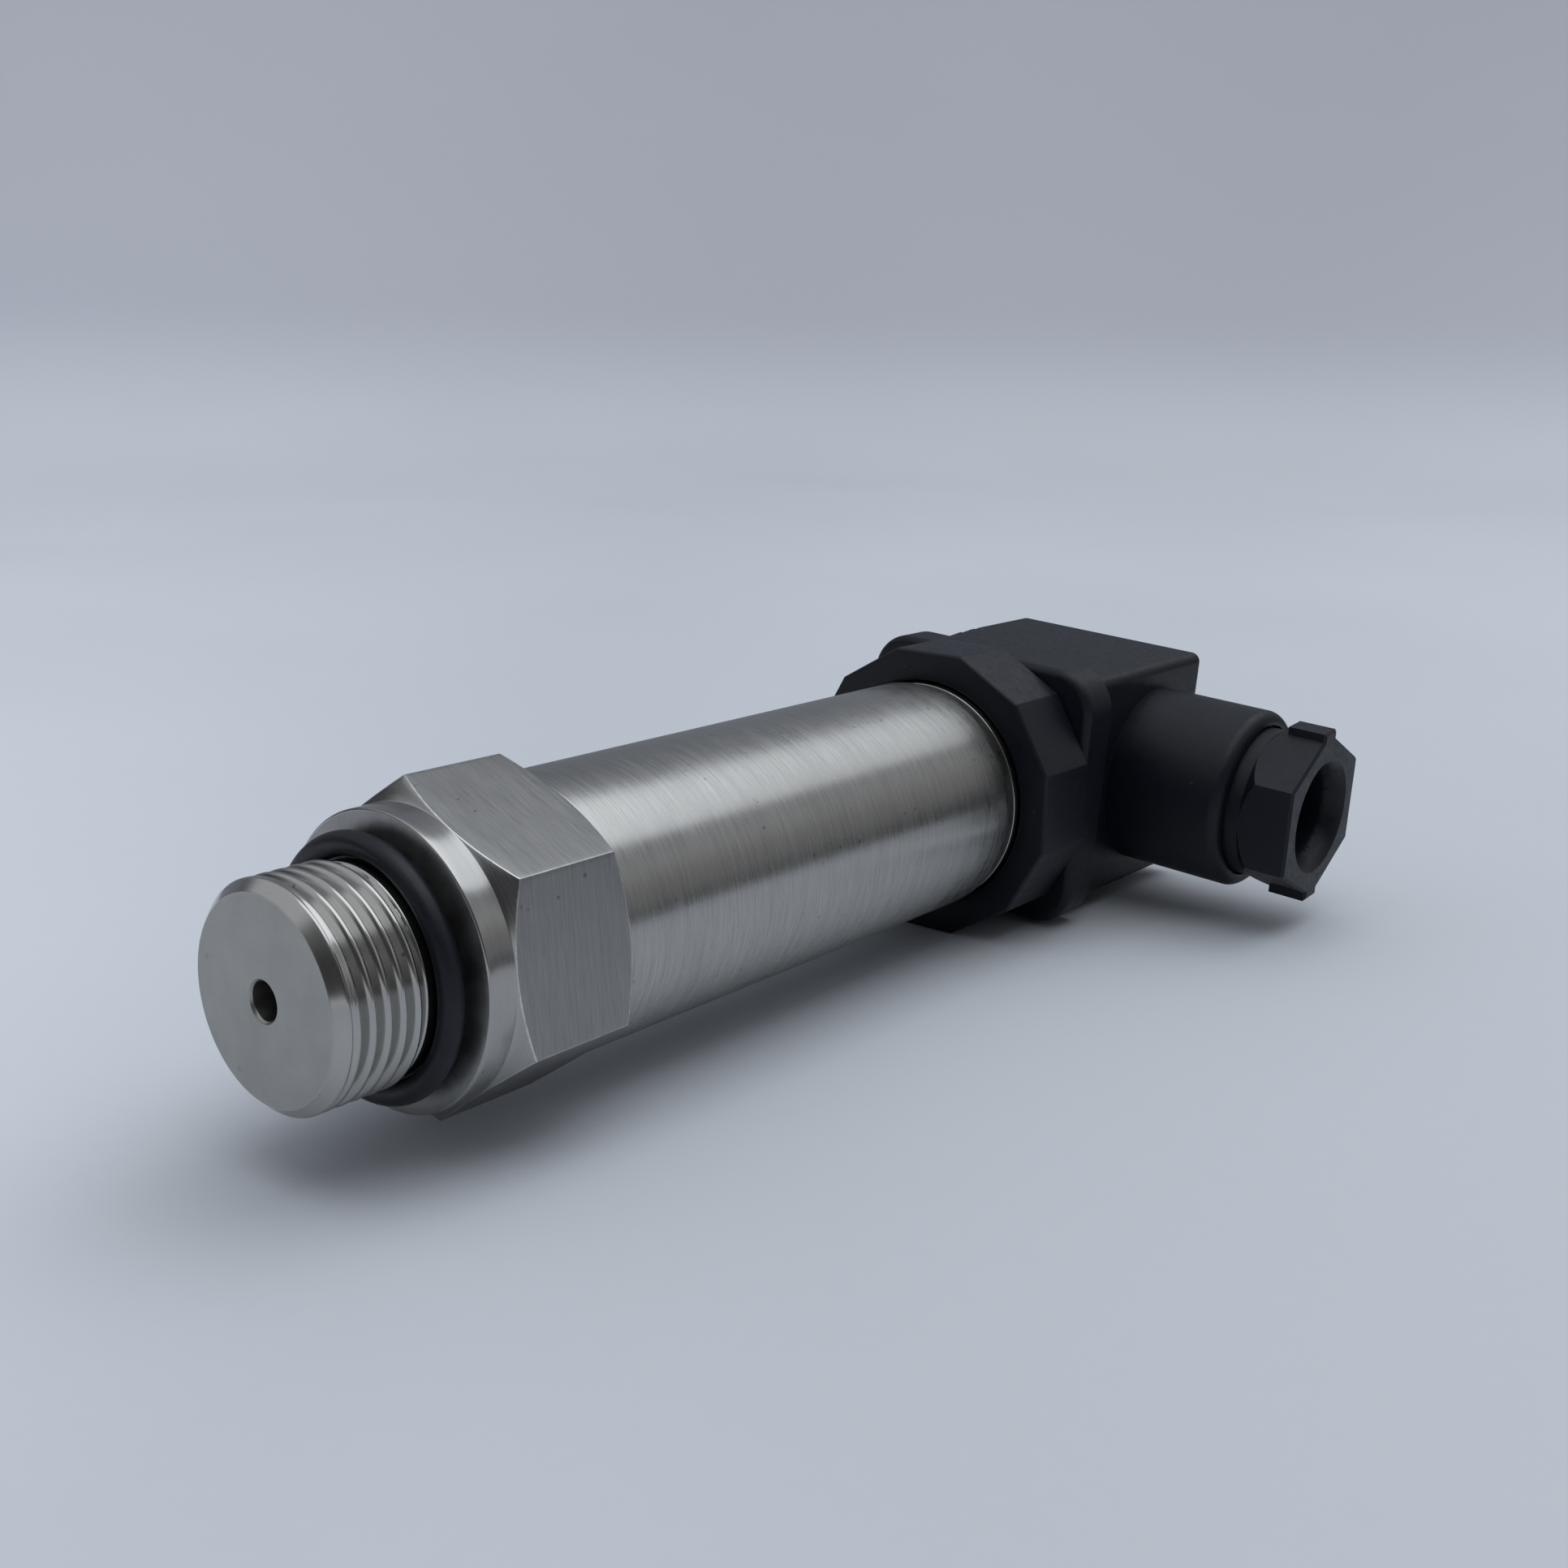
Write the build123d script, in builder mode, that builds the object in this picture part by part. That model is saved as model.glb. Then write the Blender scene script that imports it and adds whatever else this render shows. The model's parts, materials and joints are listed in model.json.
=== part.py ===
from build123d import *
from math import cos, hypot, radians, sin, tan
import os

# Pressure transmitter with a square right-angle plug, lying on one flat of its coupling nut.
# Millimetres. The origin is the centre of the pressure port's mouth. +Y runs back along the
# sensor axis, +Z is up, and the cable gland leaves towards +X, a few degrees below level.

# Process connection
thread_diameter = 20.0
thread_length = 8.6
thread_chamfer = 1.0
neck_diameter = 19.2
stub_length = 12.1
port_diameter = 3.4
collar_diameter = 26.9
collar_width = 2.9
hex_across_flats = 27.0
hex_length = 13.3
hex_chamfer_angle = 30.0
hex_corner_angle = 95.8
edge_break = 0.2

# Seal ring lying loose on the neck
ring_section = 2.2
ring_clearance = 0.15
ring_setback = 1.9

# Measuring cell in its pocket
front_wall = 4.4
pocket_wall = 2.3
cell_clearance = 0.1
cell_length = 10.5
cell_rim = 2.5
cell_recess = 0.7
cell_seal_section = 1.5
cell_seal_setback = 3.6
diaphragm_thickness = 0.3
diaphragm_wave = 0.25
retainer_length = 3.0
retainer_width = 2.7
retainer_slot = 2.4
pin_diameter = 0.6
pin_pitch = 2.5
pin_count = 4

# Housing tube and its threaded end piece
tube_length = 61.6
tube_wall = 1.5
tube_end_radius = 0.8
spigot_depth = 4.0
seat_clearance = 0.05
end_spigot_depth = 7.9
groove_width = 1.3
groove_depth = 1.25
land_step = 0.35
land_length = 6.4
land_chamfer = 0.5

# Amplifier board and its carriers
carrier_thickness = 2.0
carrier_front_gap = 7.7
carrier_span = 32.0
board_edge_margin = 2.4
board_thickness = 1.5
board_front_gap = 0.7
board_tail = 2.0
chip_width = 7.0
chip_length = 9.0
chip_height = 1.6
chip_place = 0.42
trimmer_size = 4.6
trimmer_spacing = 3.4
trimmer_place = 0.72
trimmer_dial = 2.4
capacitor_diameter = 4.0
capacitor_height = 5.4
capacitor_spacing = 3.2
capacitor_place = 0.16

# Coupling nut
nut_across_flats = 33.5
nut_sides = 12
nut_length = 9.4
nut_setback = 0.6
nut_shoulder = 1.6
nut_chamfer = 0.25
thread_clearance = 0.25
turn_gap = 0.15

# Connector base
gland_dip_angle = 4.05
flange_size = 31.3
flange_corner = 5.0
flange_thickness = 5.1
flange_round = 1.0
flange_gap = 0.2
base_web = 2.5
pedestal_size = 19.0
pedestal_height = 2.0
boss_diameter = 7.2
boss_height = 3.9
spigot_wall = 2.3
seal_thickness = 0.7
clamp_clearance = 0.05

# Contacts
contact_radius = 6.9
blade_width = 4.8
blade_thickness = 0.9
earth_width = 5.6
blade_reach = 10.0
blade_tail = 3.0
slot_clearance = 0.15
lead_diameter = 1.2
lead_bend = 6.0
lead_straight_share = 0.35
lead_pad_share = 0.8

# Gasket and plug housing
gasket_size = 26.0
gasket_thickness = 1.0
gasket_gap = 0.2
plug_gap = 0.15
plug_grip_side = 14.0
plug_gland_side = 13.4
plug_height = 28.2
plug_length = 26.05
plug_corner = 1.2
plug_wall = 2.1
plug_round = 0.8
rib_count = 5
rib_pitch = 3.45
rib_step = 0.3
rib_notch = 0.3
rib_inset = 3.5

# Terminal insert inside the plug
insert_setback = 1.65
insert_length = 10.0
insert_clearance = 0.1
recess_clearance = 0.3
clamp_margin = 0.4
clamp_web = 0.3
clamp_inset = 0.6
clamp_floor = 3.3
terminal_screw_diameter = 1.6
terminal_head_height = 1.0
terminal_screw_length = 4.0

# Central fixing screw
screw_diameter = 3.0
screw_head_diameter = 5.8
screw_head_height = 2.2
screw_slot = 0.8
screw_sink = 3.3
screw_engagement = 4.2
screw_clearance = 0.1
tower_wall = 1.85
insert_nut_wall = 0.8
washer_thickness = 0.6

# Gland
gland_offset = 11.05
neck_outer_diameter = 22.0
neck_reach = 28.4
neck_round = 1.4
gland_bore = 16.2
gland_ledge = 15.5
entry_diameter = 12.4
mouth_diameter = 18.8
mouth_depth = 1.2
bush_length = 5.5
bush_bore = 7.2
bush_taper = 1.2
thrust_thickness = 0.8
gland_thread_clearance = 0.3
gland_nut_flats = 18.2
gland_nut_turn = 4.0
gland_nut_reach = 36.55
gland_hex_length = 6.4
gland_shoulder_cone = 1.6
gland_nut_bore = 10.8
gland_mouth_diameter = 12.6
gland_mouth_depth = 2.6
gland_mouth_chamfer = 0.7
lug_count = 2
lug_width = 3.1
lug_radius = 10.6
lug_length = 4.7
lug_chamfer = 0.3

# Stations along the sensor axis
seal_face = stub_length
collar_back = seal_face + collar_width
hex_back = collar_back + hex_length
fitting_back = hex_back + spigot_depth
pocket_floor = seal_face + front_wall
cell_back = pocket_floor + cell_length
tube_back = hex_back + tube_length
land_front = tube_back + groove_width
land_back = land_front + land_length
nut_front = land_front + nut_setback
nut_back = nut_front + nut_length
shoulder_face = nut_back - nut_shoulder
clamp_front = land_back + seal_thickness
clamp_back = shoulder_face - turn_gap
flange_front = nut_back + flange_gap
flange_back = flange_front + flange_thickness
web_front = flange_back - base_web
gasket_back = flange_back + gasket_thickness
plug_front = gasket_back + plug_gap
plug_back = plug_front + plug_length
insert_front = plug_front + insert_setback
insert_back = insert_front + insert_length
boss_back = flange_back + boss_height
blade_back = flange_back + blade_reach
blade_front = web_front - blade_tail
gland_station = plug_back - gland_offset

# Radii that other pieces share
thread_radius = thread_diameter / 2
neck_radius = neck_diameter / 2
collar_radius = collar_diameter / 2
hex_corner_radius = hex_across_flats / 2 / cos(radians(30))
tube_bore_radius = collar_radius - tube_wall
spigot_radius = tube_bore_radius - seat_clearance
pocket_radius = spigot_radius - pocket_wall
cell_radius = pocket_radius - cell_clearance
land_radius = collar_radius - land_step
base_bore_radius = hypot(contact_radius + blade_thickness / 2, earth_width / 2) + ring_clearance
base_spigot_radius = base_bore_radius + spigot_wall
clamp_radius = land_radius - seat_clearance
screw_radius = screw_diameter / 2
screw_hole_radius = screw_radius + screw_clearance
thread_insert_radius = screw_hole_radius + insert_nut_wall

# Directions of the rolled connector: out along the gland, and upward across it
gland_direction = (cos(radians(gland_dip_angle)), 0, -sin(radians(gland_dip_angle)))
gland_upward = (sin(radians(gland_dip_angle)), 0, cos(radians(gland_dip_angle)))
gland_axis = Axis((0, gland_station, 0), gland_direction)


# A plane across the sensor axis, with its normal towards the plug and its y downward
def across(station):
    return Plane(origin=(0, station, 0), x_dir=(1, 0, 0), z_dir=(0, 1, 0))


# The same plane rolled with the connector, so that its x points out along the gland
def rolled(station):
    return Plane(origin=(0, station, 0), x_dir=gland_direction, z_dir=(0, 1, 0))


# A plane across the gland, with its x towards the plug's back and its y upward
def across_gland(reach):
    centre = (reach * gland_direction[0], gland_station, reach * gland_direction[2])
    return Plane(origin=centre, x_dir=(0, 1, 0), z_dir=gland_direction)


# The plane that halves the plug, x out along the gland and y along the sensor axis
plug_section = Plane(origin=(0, 0, 0), x_dir=gland_direction, z_dir=gland_upward)
gland_section = Plane(origin=(0, gland_station, 0), x_dir=gland_direction, z_dir=gland_upward)

# Places of the three contacts and the earth contact around the screw, in the rolled plane
contact_places = [(contact_radius, 0, 90), (-contact_radius, 0, 90), (0, contact_radius, 0)]
earth_place = (0, -contact_radius, 0)


# Turned and hexagonal stainless fitting, drawn as one half section and then cut to six flats
with BuildPart() as process_fitting:
    chamfer_run = (hex_corner_radius - collar_radius) * tan(radians(hex_chamfer_angle))
    with BuildSketch(Plane.XY):
        with BuildLine():
            Polyline(
                (port_diameter / 2, 0),
                (thread_radius - thread_chamfer, 0),
                (thread_radius, thread_chamfer),
                (thread_radius, thread_length),
                (neck_radius, thread_length + thread_radius - neck_radius),
                (neck_radius, seal_face),
                (collar_radius - edge_break, seal_face),
                (collar_radius, seal_face + edge_break),
                (collar_radius, collar_back),
                (hex_corner_radius, collar_back + chamfer_run),
                (hex_corner_radius, hex_back - chamfer_run),
                (collar_radius, hex_back),
                (spigot_radius, hex_back),
                (spigot_radius, fitting_back),
                (pocket_radius, fitting_back),
                (pocket_radius, pocket_floor),
                (port_diameter / 2, pocket_floor),
                close=True,
            )
        make_face()
    revolve(axis=Axis.Y)
    with BuildSketch(across(0)):
        RegularPolygon(hex_corner_radius, 6, rotation=-hex_corner_angle)
    extrude(amount=fitting_back, mode=Mode.INTERSECT)

# Seal ring of round section on the neck, just ahead of the sealing face
with BuildPart() as port_seal_ring:
    ring_radius = neck_radius + ring_clearance + ring_section / 2
    with BuildSketch(Plane.XY):
        with Locations((ring_radius, seal_face - ring_setback)):
            Circle(ring_section / 2)
    revolve(axis=Axis.Y)

# Measuring cell with a recessed front rim and a groove for its own seal
with BuildPart() as sensor_cell:
    recess_radius = cell_radius - cell_rim
    groove_floor = cell_radius - cell_seal_section + seat_clearance
    groove_centre = pocket_floor + cell_seal_setback
    groove_half = cell_seal_section / 2 + cell_clearance
    with BuildSketch(Plane.XY):
        with BuildLine():
            Polyline(
                (0, pocket_floor + cell_recess),
                (recess_radius, pocket_floor + cell_recess),
                (recess_radius, pocket_floor),
                (cell_radius, pocket_floor),
                (cell_radius, groove_centre - groove_half),
                (groove_floor - seat_clearance, groove_centre - groove_half),
                (groove_floor - seat_clearance, groove_centre + groove_half),
                (cell_radius, groove_centre + groove_half),
                (cell_radius, cell_back),
                (0, cell_back),
                close=True,
            )
        make_face()
    revolve(axis=Axis.Y)

with BuildPart() as cell_seal_ring:
    with BuildSketch(Plane.XY):
        with Locations((groove_floor + cell_seal_section / 2, groove_centre)):
            Circle(cell_seal_section / 2)
    revolve(axis=Axis.Y)

# Thin corrugated diaphragm, two waves pressed into a flat disc
with BuildPart() as isolating_diaphragm:
    disc_back = pocket_floor + cell_recess
    disc_front = disc_back - diaphragm_thickness
    wave_radii = [recess_radius * share for share in (0.22, 0.34, 0.46, 0.58, 0.70, 0.82)]
    front_line = [(0, disc_front)]
    for index, wave_radius in enumerate(wave_radii):
        front_line.append((wave_radius, disc_front - diaphragm_wave * (index % 2)))
    front_line.append((recess_radius, disc_front))
    with BuildSketch(Plane.XY):
        with BuildLine():
            Polyline(*front_line, (recess_radius, disc_back), (0, disc_back), close=True)
        make_face()
    revolve(axis=Axis.Y)

# Threaded ring that holds the cell, with two spanner slots
with BuildPart() as cell_retaining_ring:
    with BuildSketch(across(cell_back)):
        Circle(cell_radius)
        Circle(cell_radius - retainer_width, mode=Mode.SUBTRACT)
    extrude(amount=retainer_length)
    with BuildSketch(across(cell_back + retainer_length / 2)):
        Rectangle(2 * pocket_radius, retainer_slot)
    extrude(amount=retainer_length, mode=Mode.SUBTRACT)

# Row of glass-sealed pins that runs from the cell onto the board
board_front = fitting_back + board_front_gap
board_back = board_front + carrier_front_gap + carrier_thickness * 2 + carrier_span + board_tail
pad_front = board_front + pin_pitch
with BuildPart() as header_pins:
    with BuildSketch(across(cell_back)):
        with Locations((0, -(board_thickness + pin_diameter) / 2)):
            with GridLocations(pin_pitch, 1, pin_count, 1):
                Circle(pin_diameter / 2)
    extrude(amount=pad_front - cell_back)

# Drawn tube with a rounded back edge
with BuildPart() as housing_tube:
    with BuildSketch(across(hex_back)):
        Circle(collar_radius)
        Circle(tube_bore_radius, mode=Mode.SUBTRACT)
    extrude(amount=tube_length)
    fillet(housing_tube.faces().sort_by(Axis.Y)[-1].outer_wire().edges(), tube_end_radius)

# End piece in the tube: spigot, dark groove and the land that carries the nut's thread
with BuildPart() as end_collar:
    with BuildSketch(Plane.XY):
        with BuildLine():
            Polyline(
                (base_bore_radius, tube_back - end_spigot_depth),
                (spigot_radius, tube_back - end_spigot_depth),
                (spigot_radius, tube_back),
                (collar_radius - groove_depth, tube_back),
                (collar_radius - groove_depth, land_front),
                (land_radius, land_front),
                (land_radius, land_back - land_chamfer),
                (land_radius - land_chamfer, land_back),
                (base_bore_radius, land_back),
                close=True,
            )
        make_face()
    revolve(axis=Axis.Y)

# Two slotted discs that carry the board in the tube
board_half_width = spigot_radius - board_edge_margin
front_carrier_face = board_front + carrier_front_gap
rear_carrier_face = front_carrier_face + carrier_thickness + carrier_span
with BuildPart() as front_carrier:
    with BuildSketch(across(front_carrier_face)):
        Circle(spigot_radius)
        Rectangle(2 * board_half_width, board_thickness, mode=Mode.SUBTRACT)
    extrude(amount=carrier_thickness)

with BuildPart() as rear_carrier:
    with BuildSketch(across(rear_carrier_face)):
        Circle(spigot_radius)
        Rectangle(2 * board_half_width, board_thickness, mode=Mode.SUBTRACT)
    extrude(amount=carrier_thickness)

with BuildPart() as circuit_board:
    with BuildSketch(across(board_front)):
        Rectangle(2 * board_half_width, board_thickness)
    extrude(amount=board_back - board_front)

# Parts on top of the board, each placed as a share of the span between the carriers
board_top = Plane(origin=(0, 0, board_thickness / 2))
span_front = front_carrier_face + carrier_thickness
with BuildPart() as amplifier_chip:
    with BuildSketch(board_top):
        with Locations((0, span_front + chip_place * carrier_span)):
            Rectangle(chip_width, chip_length)
    extrude(amount=chip_height)
    chamfer(amplifier_chip.faces().sort_by(Axis.Z)[-1].edges(), edge_break)

with BuildPart() as trim_pots:
    with BuildSketch(board_top):
        with Locations((0, span_front + trimmer_place * carrier_span)):
            with GridLocations(2 * trimmer_spacing, 1, 2, 1):
                Rectangle(trimmer_size, trimmer_size)
    extrude(amount=trimmer_size)
    with BuildSketch(board_top.offset(trimmer_size)):
        with Locations((0, span_front + trimmer_place * carrier_span)):
            with GridLocations(2 * trimmer_spacing, 1, 2, 1):
                Circle(trimmer_dial / 2)
    extrude(amount=edge_break)

with BuildPart() as filter_capacitors:
    with BuildSketch(board_top):
        with Locations((0, span_front + capacitor_place * carrier_span)):
            with GridLocations(2 * capacitor_spacing, 1, 2, 1):
                Circle(capacitor_diameter / 2)
    extrude(amount=capacitor_height)
    fillet(filter_capacitors.faces().group_by(Axis.Z)[-1].edges(), edge_break)

# Leads from the board's back edge to the tails of the three contacts
with BuildPart() as signal_leads:
    lead_height = (board_thickness + lead_diameter) / 2 + seat_clearance
    lead_front = rear_carrier_face + carrier_thickness
    lead_straight = (blade_front - lead_front) * lead_straight_share
    for place_x, place_y, turn in contact_places:
        tail = rolled(blade_front).from_local_coords(Vector(place_x, place_y, 0))
        pad_x = place_x * lead_pad_share
        with BuildLine():
            lead_path = FilletPolyline(
                (pad_x, lead_front, lead_height),
                (pad_x, lead_front + lead_straight, lead_height),
                (tail.X, tail.Y - lead_straight, tail.Z),
                (tail.X, tail.Y, tail.Z),
                radius=lead_bend,
            )
        with BuildSketch(Plane(origin=lead_path @ 0, z_dir=lead_path % 0)):
            Circle(lead_diameter / 2)
        sweep(path=lead_path)

# Flat seal and clamping ring between the end piece and the nut's inner shoulder
with BuildPart() as base_seal:
    with BuildSketch(across(land_back)):
        Circle(land_radius - land_chamfer)
        Circle(base_bore_radius, mode=Mode.SUBTRACT)
    extrude(amount=seal_thickness)

with BuildPart() as clamp_ring:
    with BuildSketch(across(clamp_front)):
        Circle(clamp_radius)
        Circle(base_spigot_radius + clamp_clearance, mode=Mode.SUBTRACT)
    extrude(amount=clamp_back - clamp_front)

# Twelve-sided coupling nut with a shoulder at its back
with BuildPart() as coupling_nut:
    nut_corner_radius = nut_across_flats / 2 / cos(radians(180 / nut_sides))
    nut_bore_radius = land_radius + thread_clearance
    nut_hole_radius = base_spigot_radius + 2 * turn_gap
    with BuildSketch(across(nut_front)):
        RegularPolygon(nut_corner_radius, nut_sides, rotation=180 / nut_sides)
    extrude(amount=nut_length)
    chamfer(coupling_nut.edges().group_by(Axis.Y)[0], nut_chamfer)
    chamfer(coupling_nut.edges().group_by(Axis.Y)[-1], nut_chamfer)
    with BuildSketch(Plane.XY):
        with BuildLine():
            Polyline(
                (0, nut_front),
                (nut_bore_radius + nut_chamfer, nut_front),
                (nut_bore_radius, nut_front + nut_chamfer),
                (nut_bore_radius, shoulder_face),
                (nut_hole_radius, shoulder_face),
                (nut_hole_radius, nut_back),
                (0, nut_back),
                close=True,
            )
        make_face()
    revolve(axis=Axis.Y, mode=Mode.SUBTRACT)

# Moulded base: square flange, hollow spigot in front, pedestal and screw boss behind
with BuildPart() as connector_base:
    with BuildSketch(rolled(flange_front)):
        RectangleRounded(flange_size, flange_size, flange_corner)
    extrude(amount=flange_thickness)
    fillet(connector_base.faces().sort_by(Axis.Y)[0].edges(), flange_round)
    with BuildSketch(rolled(clamp_front)):
        Circle(base_spigot_radius)
    extrude(amount=flange_front + flange_round - clamp_front)
    with BuildSketch(rolled(flange_back)):
        RectangleRounded(pedestal_size, pedestal_size, flange_corner / 2)
    extrude(amount=pedestal_height)
    with BuildSketch(rolled(flange_back)):
        Circle(boss_diameter / 2)
    extrude(amount=boss_height)
    with BuildSketch(rolled(clamp_front)):
        Circle(base_bore_radius)
    extrude(amount=web_front - clamp_front, mode=Mode.SUBTRACT)
    with BuildSketch(rolled(web_front)):
        Circle(thread_insert_radius)
        for place_x, place_y, turn in contact_places:
            with Locations(Location((place_x, place_y), turn)):
                Rectangle(blade_width, blade_thickness)
        with Locations(earth_place[:2]):
            Rectangle(earth_width, blade_thickness)
    extrude(amount=boss_back - web_front, mode=Mode.SUBTRACT)

with BuildPart() as contact_blades:
    with BuildSketch(rolled(blade_front)):
        for place_x, place_y, turn in contact_places:
            with Locations(Location((place_x, place_y), turn)):
                Rectangle(blade_width, blade_thickness)
    extrude(amount=blade_back - blade_front)
    chamfer(contact_blades.faces().group_by(Axis.Y)[-1].edges(), edge_break)

with BuildPart() as earth_blade:
    with BuildSketch(rolled(blade_front)):
        with Locations(earth_place[:2]):
            Rectangle(earth_width, blade_thickness)
    extrude(amount=blade_back - blade_front)
    chamfer(earth_blade.faces().sort_by(Axis.Y)[-1].edges(), edge_break)

# Brass thread insert for the fixing screw, pressed into the boss
with BuildPart() as base_thread_insert:
    with BuildSketch(across(web_front)):
        Circle(thread_insert_radius)
        Circle(screw_hole_radius, mode=Mode.SUBTRACT)
    extrude(amount=boss_back - web_front)

# Flat square gasket around the pedestal
with BuildPart() as profile_gasket:
    with BuildSketch(rolled(flange_back)):
        RectangleRounded(gasket_size, gasket_size, flange_corner - (flange_size - gasket_size) / 4)
        RectangleRounded(
            pedestal_size + 2 * gasket_gap,
            pedestal_size + 2 * gasket_gap,
            flange_corner / 2 + gasket_gap,
            mode=Mode.SUBTRACT,
        )
    extrude(amount=gasket_thickness)

# Moulded plug housing: square shell, stepped grip, gland neck and a tower for the screw
plug_width = plug_grip_side + plug_gland_side
cavity_grip_side = plug_grip_side - rib_count * rib_step - plug_wall
cavity_gland_side = plug_gland_side - plug_wall
cavity_width = cavity_grip_side + cavity_gland_side
cavity_height = plug_height - 2 * plug_wall
cavity_centre = (cavity_gland_side - cavity_grip_side) / 2
head_floor = plug_back - screw_sink
gland_bore_radius = gland_bore / 2
with BuildPart() as connector_housing:
    with BuildSketch(rolled(plug_front)):
        with Locations(((plug_gland_side - plug_grip_side) / 2, 0)):
            RectangleRounded(plug_width, plug_height, plug_corner)
    extrude(amount=plug_length)
    fillet(connector_housing.faces().sort_by(Axis.Y)[-1].edges(), plug_round)
    rib_back = plug_back - rib_inset
    step_line = [(-plug_grip_side - plug_wall, rib_back)]
    for index in range(rib_count):
        step_top = rib_back - index * rib_pitch
        step_line.append((index * rib_step - plug_grip_side, step_top))
        step_line.append(((index + 1) * rib_step + rib_notch - plug_grip_side, step_top - rib_pitch))
    step_line.append((rib_count * rib_step - plug_grip_side, rib_back - rib_count * rib_pitch))
    step_line.append((rib_count * rib_step - plug_grip_side, plug_front - plug_wall))
    step_line.append((-plug_grip_side - plug_wall, plug_front - plug_wall))
    with BuildSketch(plug_section):
        with BuildLine():
            Polyline(*step_line, close=True)
        make_face()
    extrude(amount=plug_height, both=True, mode=Mode.SUBTRACT)
    with BuildSketch(gland_section):
        with BuildLine():
            Polyline(
                (0, 0),
                (neck_reach, 0),
                (neck_reach, neck_outer_diameter / 2),
                (0, neck_outer_diameter / 2),
                close=True,
            )
        make_face()
        neck_mouth = vertices().group_by(gland_axis)[-1]
        fillet(neck_mouth.sort_by(Axis.Y)[-1], neck_round)
    revolve(axis=gland_axis)
    with BuildSketch(rolled(plug_front)):
        with Locations((cavity_centre, 0)):
            RectangleRounded(cavity_width, cavity_height, plug_corner)
    extrude(amount=plug_length - plug_wall, mode=Mode.SUBTRACT)
    with BuildSketch(rolled(insert_back)):
        Circle(screw_hole_radius + seat_clearance + tower_wall)
    extrude(amount=plug_back - insert_back - edge_break)
    with BuildSketch(rolled(insert_back)):
        Circle(screw_hole_radius + seat_clearance)
    extrude(amount=plug_length, mode=Mode.SUBTRACT)
    with BuildSketch(rolled(head_floor)):
        Circle(screw_head_diameter / 2 + slot_clearance)
    extrude(amount=plug_length, mode=Mode.SUBTRACT)
    with BuildSketch(gland_section):
        with BuildLine():
            Polyline(
                (cavity_gland_side - edge_break, 0),
                (cavity_gland_side - edge_break, entry_diameter / 2),
                (gland_ledge, entry_diameter / 2),
                (gland_ledge, gland_bore_radius),
                (neck_reach - mouth_depth, gland_bore_radius),
                (neck_reach - mouth_depth, mouth_diameter / 2),
                (neck_reach, mouth_diameter / 2),
                (neck_reach, 0),
                close=True,
            )
        make_face()
    revolve(axis=gland_axis, mode=Mode.SUBTRACT)

# Insert that carries four terminals around the screw
slot_half = blade_thickness / 2 + slot_clearance
terminal_screw_radius = terminal_screw_diameter / 2
terminal_radius = contact_radius + slot_half + clamp_web + terminal_screw_radius + seat_clearance
terminal_places = [
    (terminal_radius, 0),
    (-terminal_radius, 0),
    (0, terminal_radius),
    (0, -terminal_radius),
]
clamp_outer = terminal_radius + terminal_screw_radius + clamp_margin
clamp_depth = clamp_outer - contact_radius + slot_half + clamp_web
clamp_block = earth_width + 2 * slot_clearance + 2 * clamp_web
clamp_centre = clamp_outer - clamp_depth / 2
clamp_places = [
    (clamp_centre, 0, 90),
    (-clamp_centre, 0, 90),
    (0, clamp_centre, 0),
    (0, -clamp_centre, 0),
]
insert_width = cavity_width - 2 * insert_clearance
insert_height = cavity_height - 2 * insert_clearance
clamp_front_face = insert_front + clamp_floor
clamp_back_face = insert_back - clamp_inset
with BuildPart() as terminal_insert:
    with BuildSketch(rolled(insert_front)):
        with Locations((cavity_centre, 0)):
            RectangleRounded(insert_width, insert_height, plug_corner)
    extrude(amount=insert_length)
    with BuildSketch(rolled(insert_front)):
        Circle(boss_diameter / 2 + recess_clearance)
    extrude(amount=boss_back + recess_clearance - insert_front, mode=Mode.SUBTRACT)
    with BuildSketch(rolled(insert_front)):
        Circle(screw_hole_radius + seat_clearance)
        for place_x, place_y, turn in contact_places:
            with Locations(Location((place_x, place_y), turn)):
                Rectangle(blade_width + 2 * slot_clearance, 2 * slot_half)
        with Locations(earth_place[:2]):
            Rectangle(earth_width + 2 * slot_clearance, 2 * slot_half)
    extrude(amount=insert_length, mode=Mode.SUBTRACT)
    with BuildSketch(rolled(clamp_front_face)):
        for place_x, place_y, turn in clamp_places:
            with Locations(Location((place_x, place_y), turn)):
                Rectangle(clamp_block, clamp_depth)
    extrude(amount=insert_length, mode=Mode.SUBTRACT)

# Brass clamp blocks in the insert, slotted for the blades and drilled for their screws
with BuildPart() as terminal_clamps:
    with BuildSketch(rolled(clamp_front_face)):
        for place_x, place_y, turn in clamp_places:
            with Locations(Location((place_x, place_y), turn)):
                Rectangle(clamp_block, clamp_depth)
    extrude(amount=clamp_back_face - clamp_front_face)
    with BuildSketch(rolled(clamp_front_face)):
        for place_x, place_y, turn in contact_places + [earth_place]:
            with Locations(Location((place_x, place_y), turn)):
                Rectangle(earth_width + 2 * slot_clearance, 2 * slot_half)
    extrude(amount=blade_back + recess_clearance - clamp_front_face, mode=Mode.SUBTRACT)
    with BuildSketch(rolled(clamp_back_face)):
        with Locations(*terminal_places):
            Circle(terminal_screw_radius + seat_clearance)
    extrude(amount=-terminal_screw_length - seat_clearance, mode=Mode.SUBTRACT)

with BuildPart() as terminal_screws:
    with BuildSketch(rolled(clamp_back_face)):
        with Locations(*terminal_places):
            Circle(terminal_screw_radius)
    extrude(amount=-terminal_screw_length)
    with BuildSketch(rolled(clamp_back_face)):
        with Locations(*terminal_places):
            Circle(terminal_screw_radius + clamp_margin)
    extrude(amount=terminal_head_height)

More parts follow.
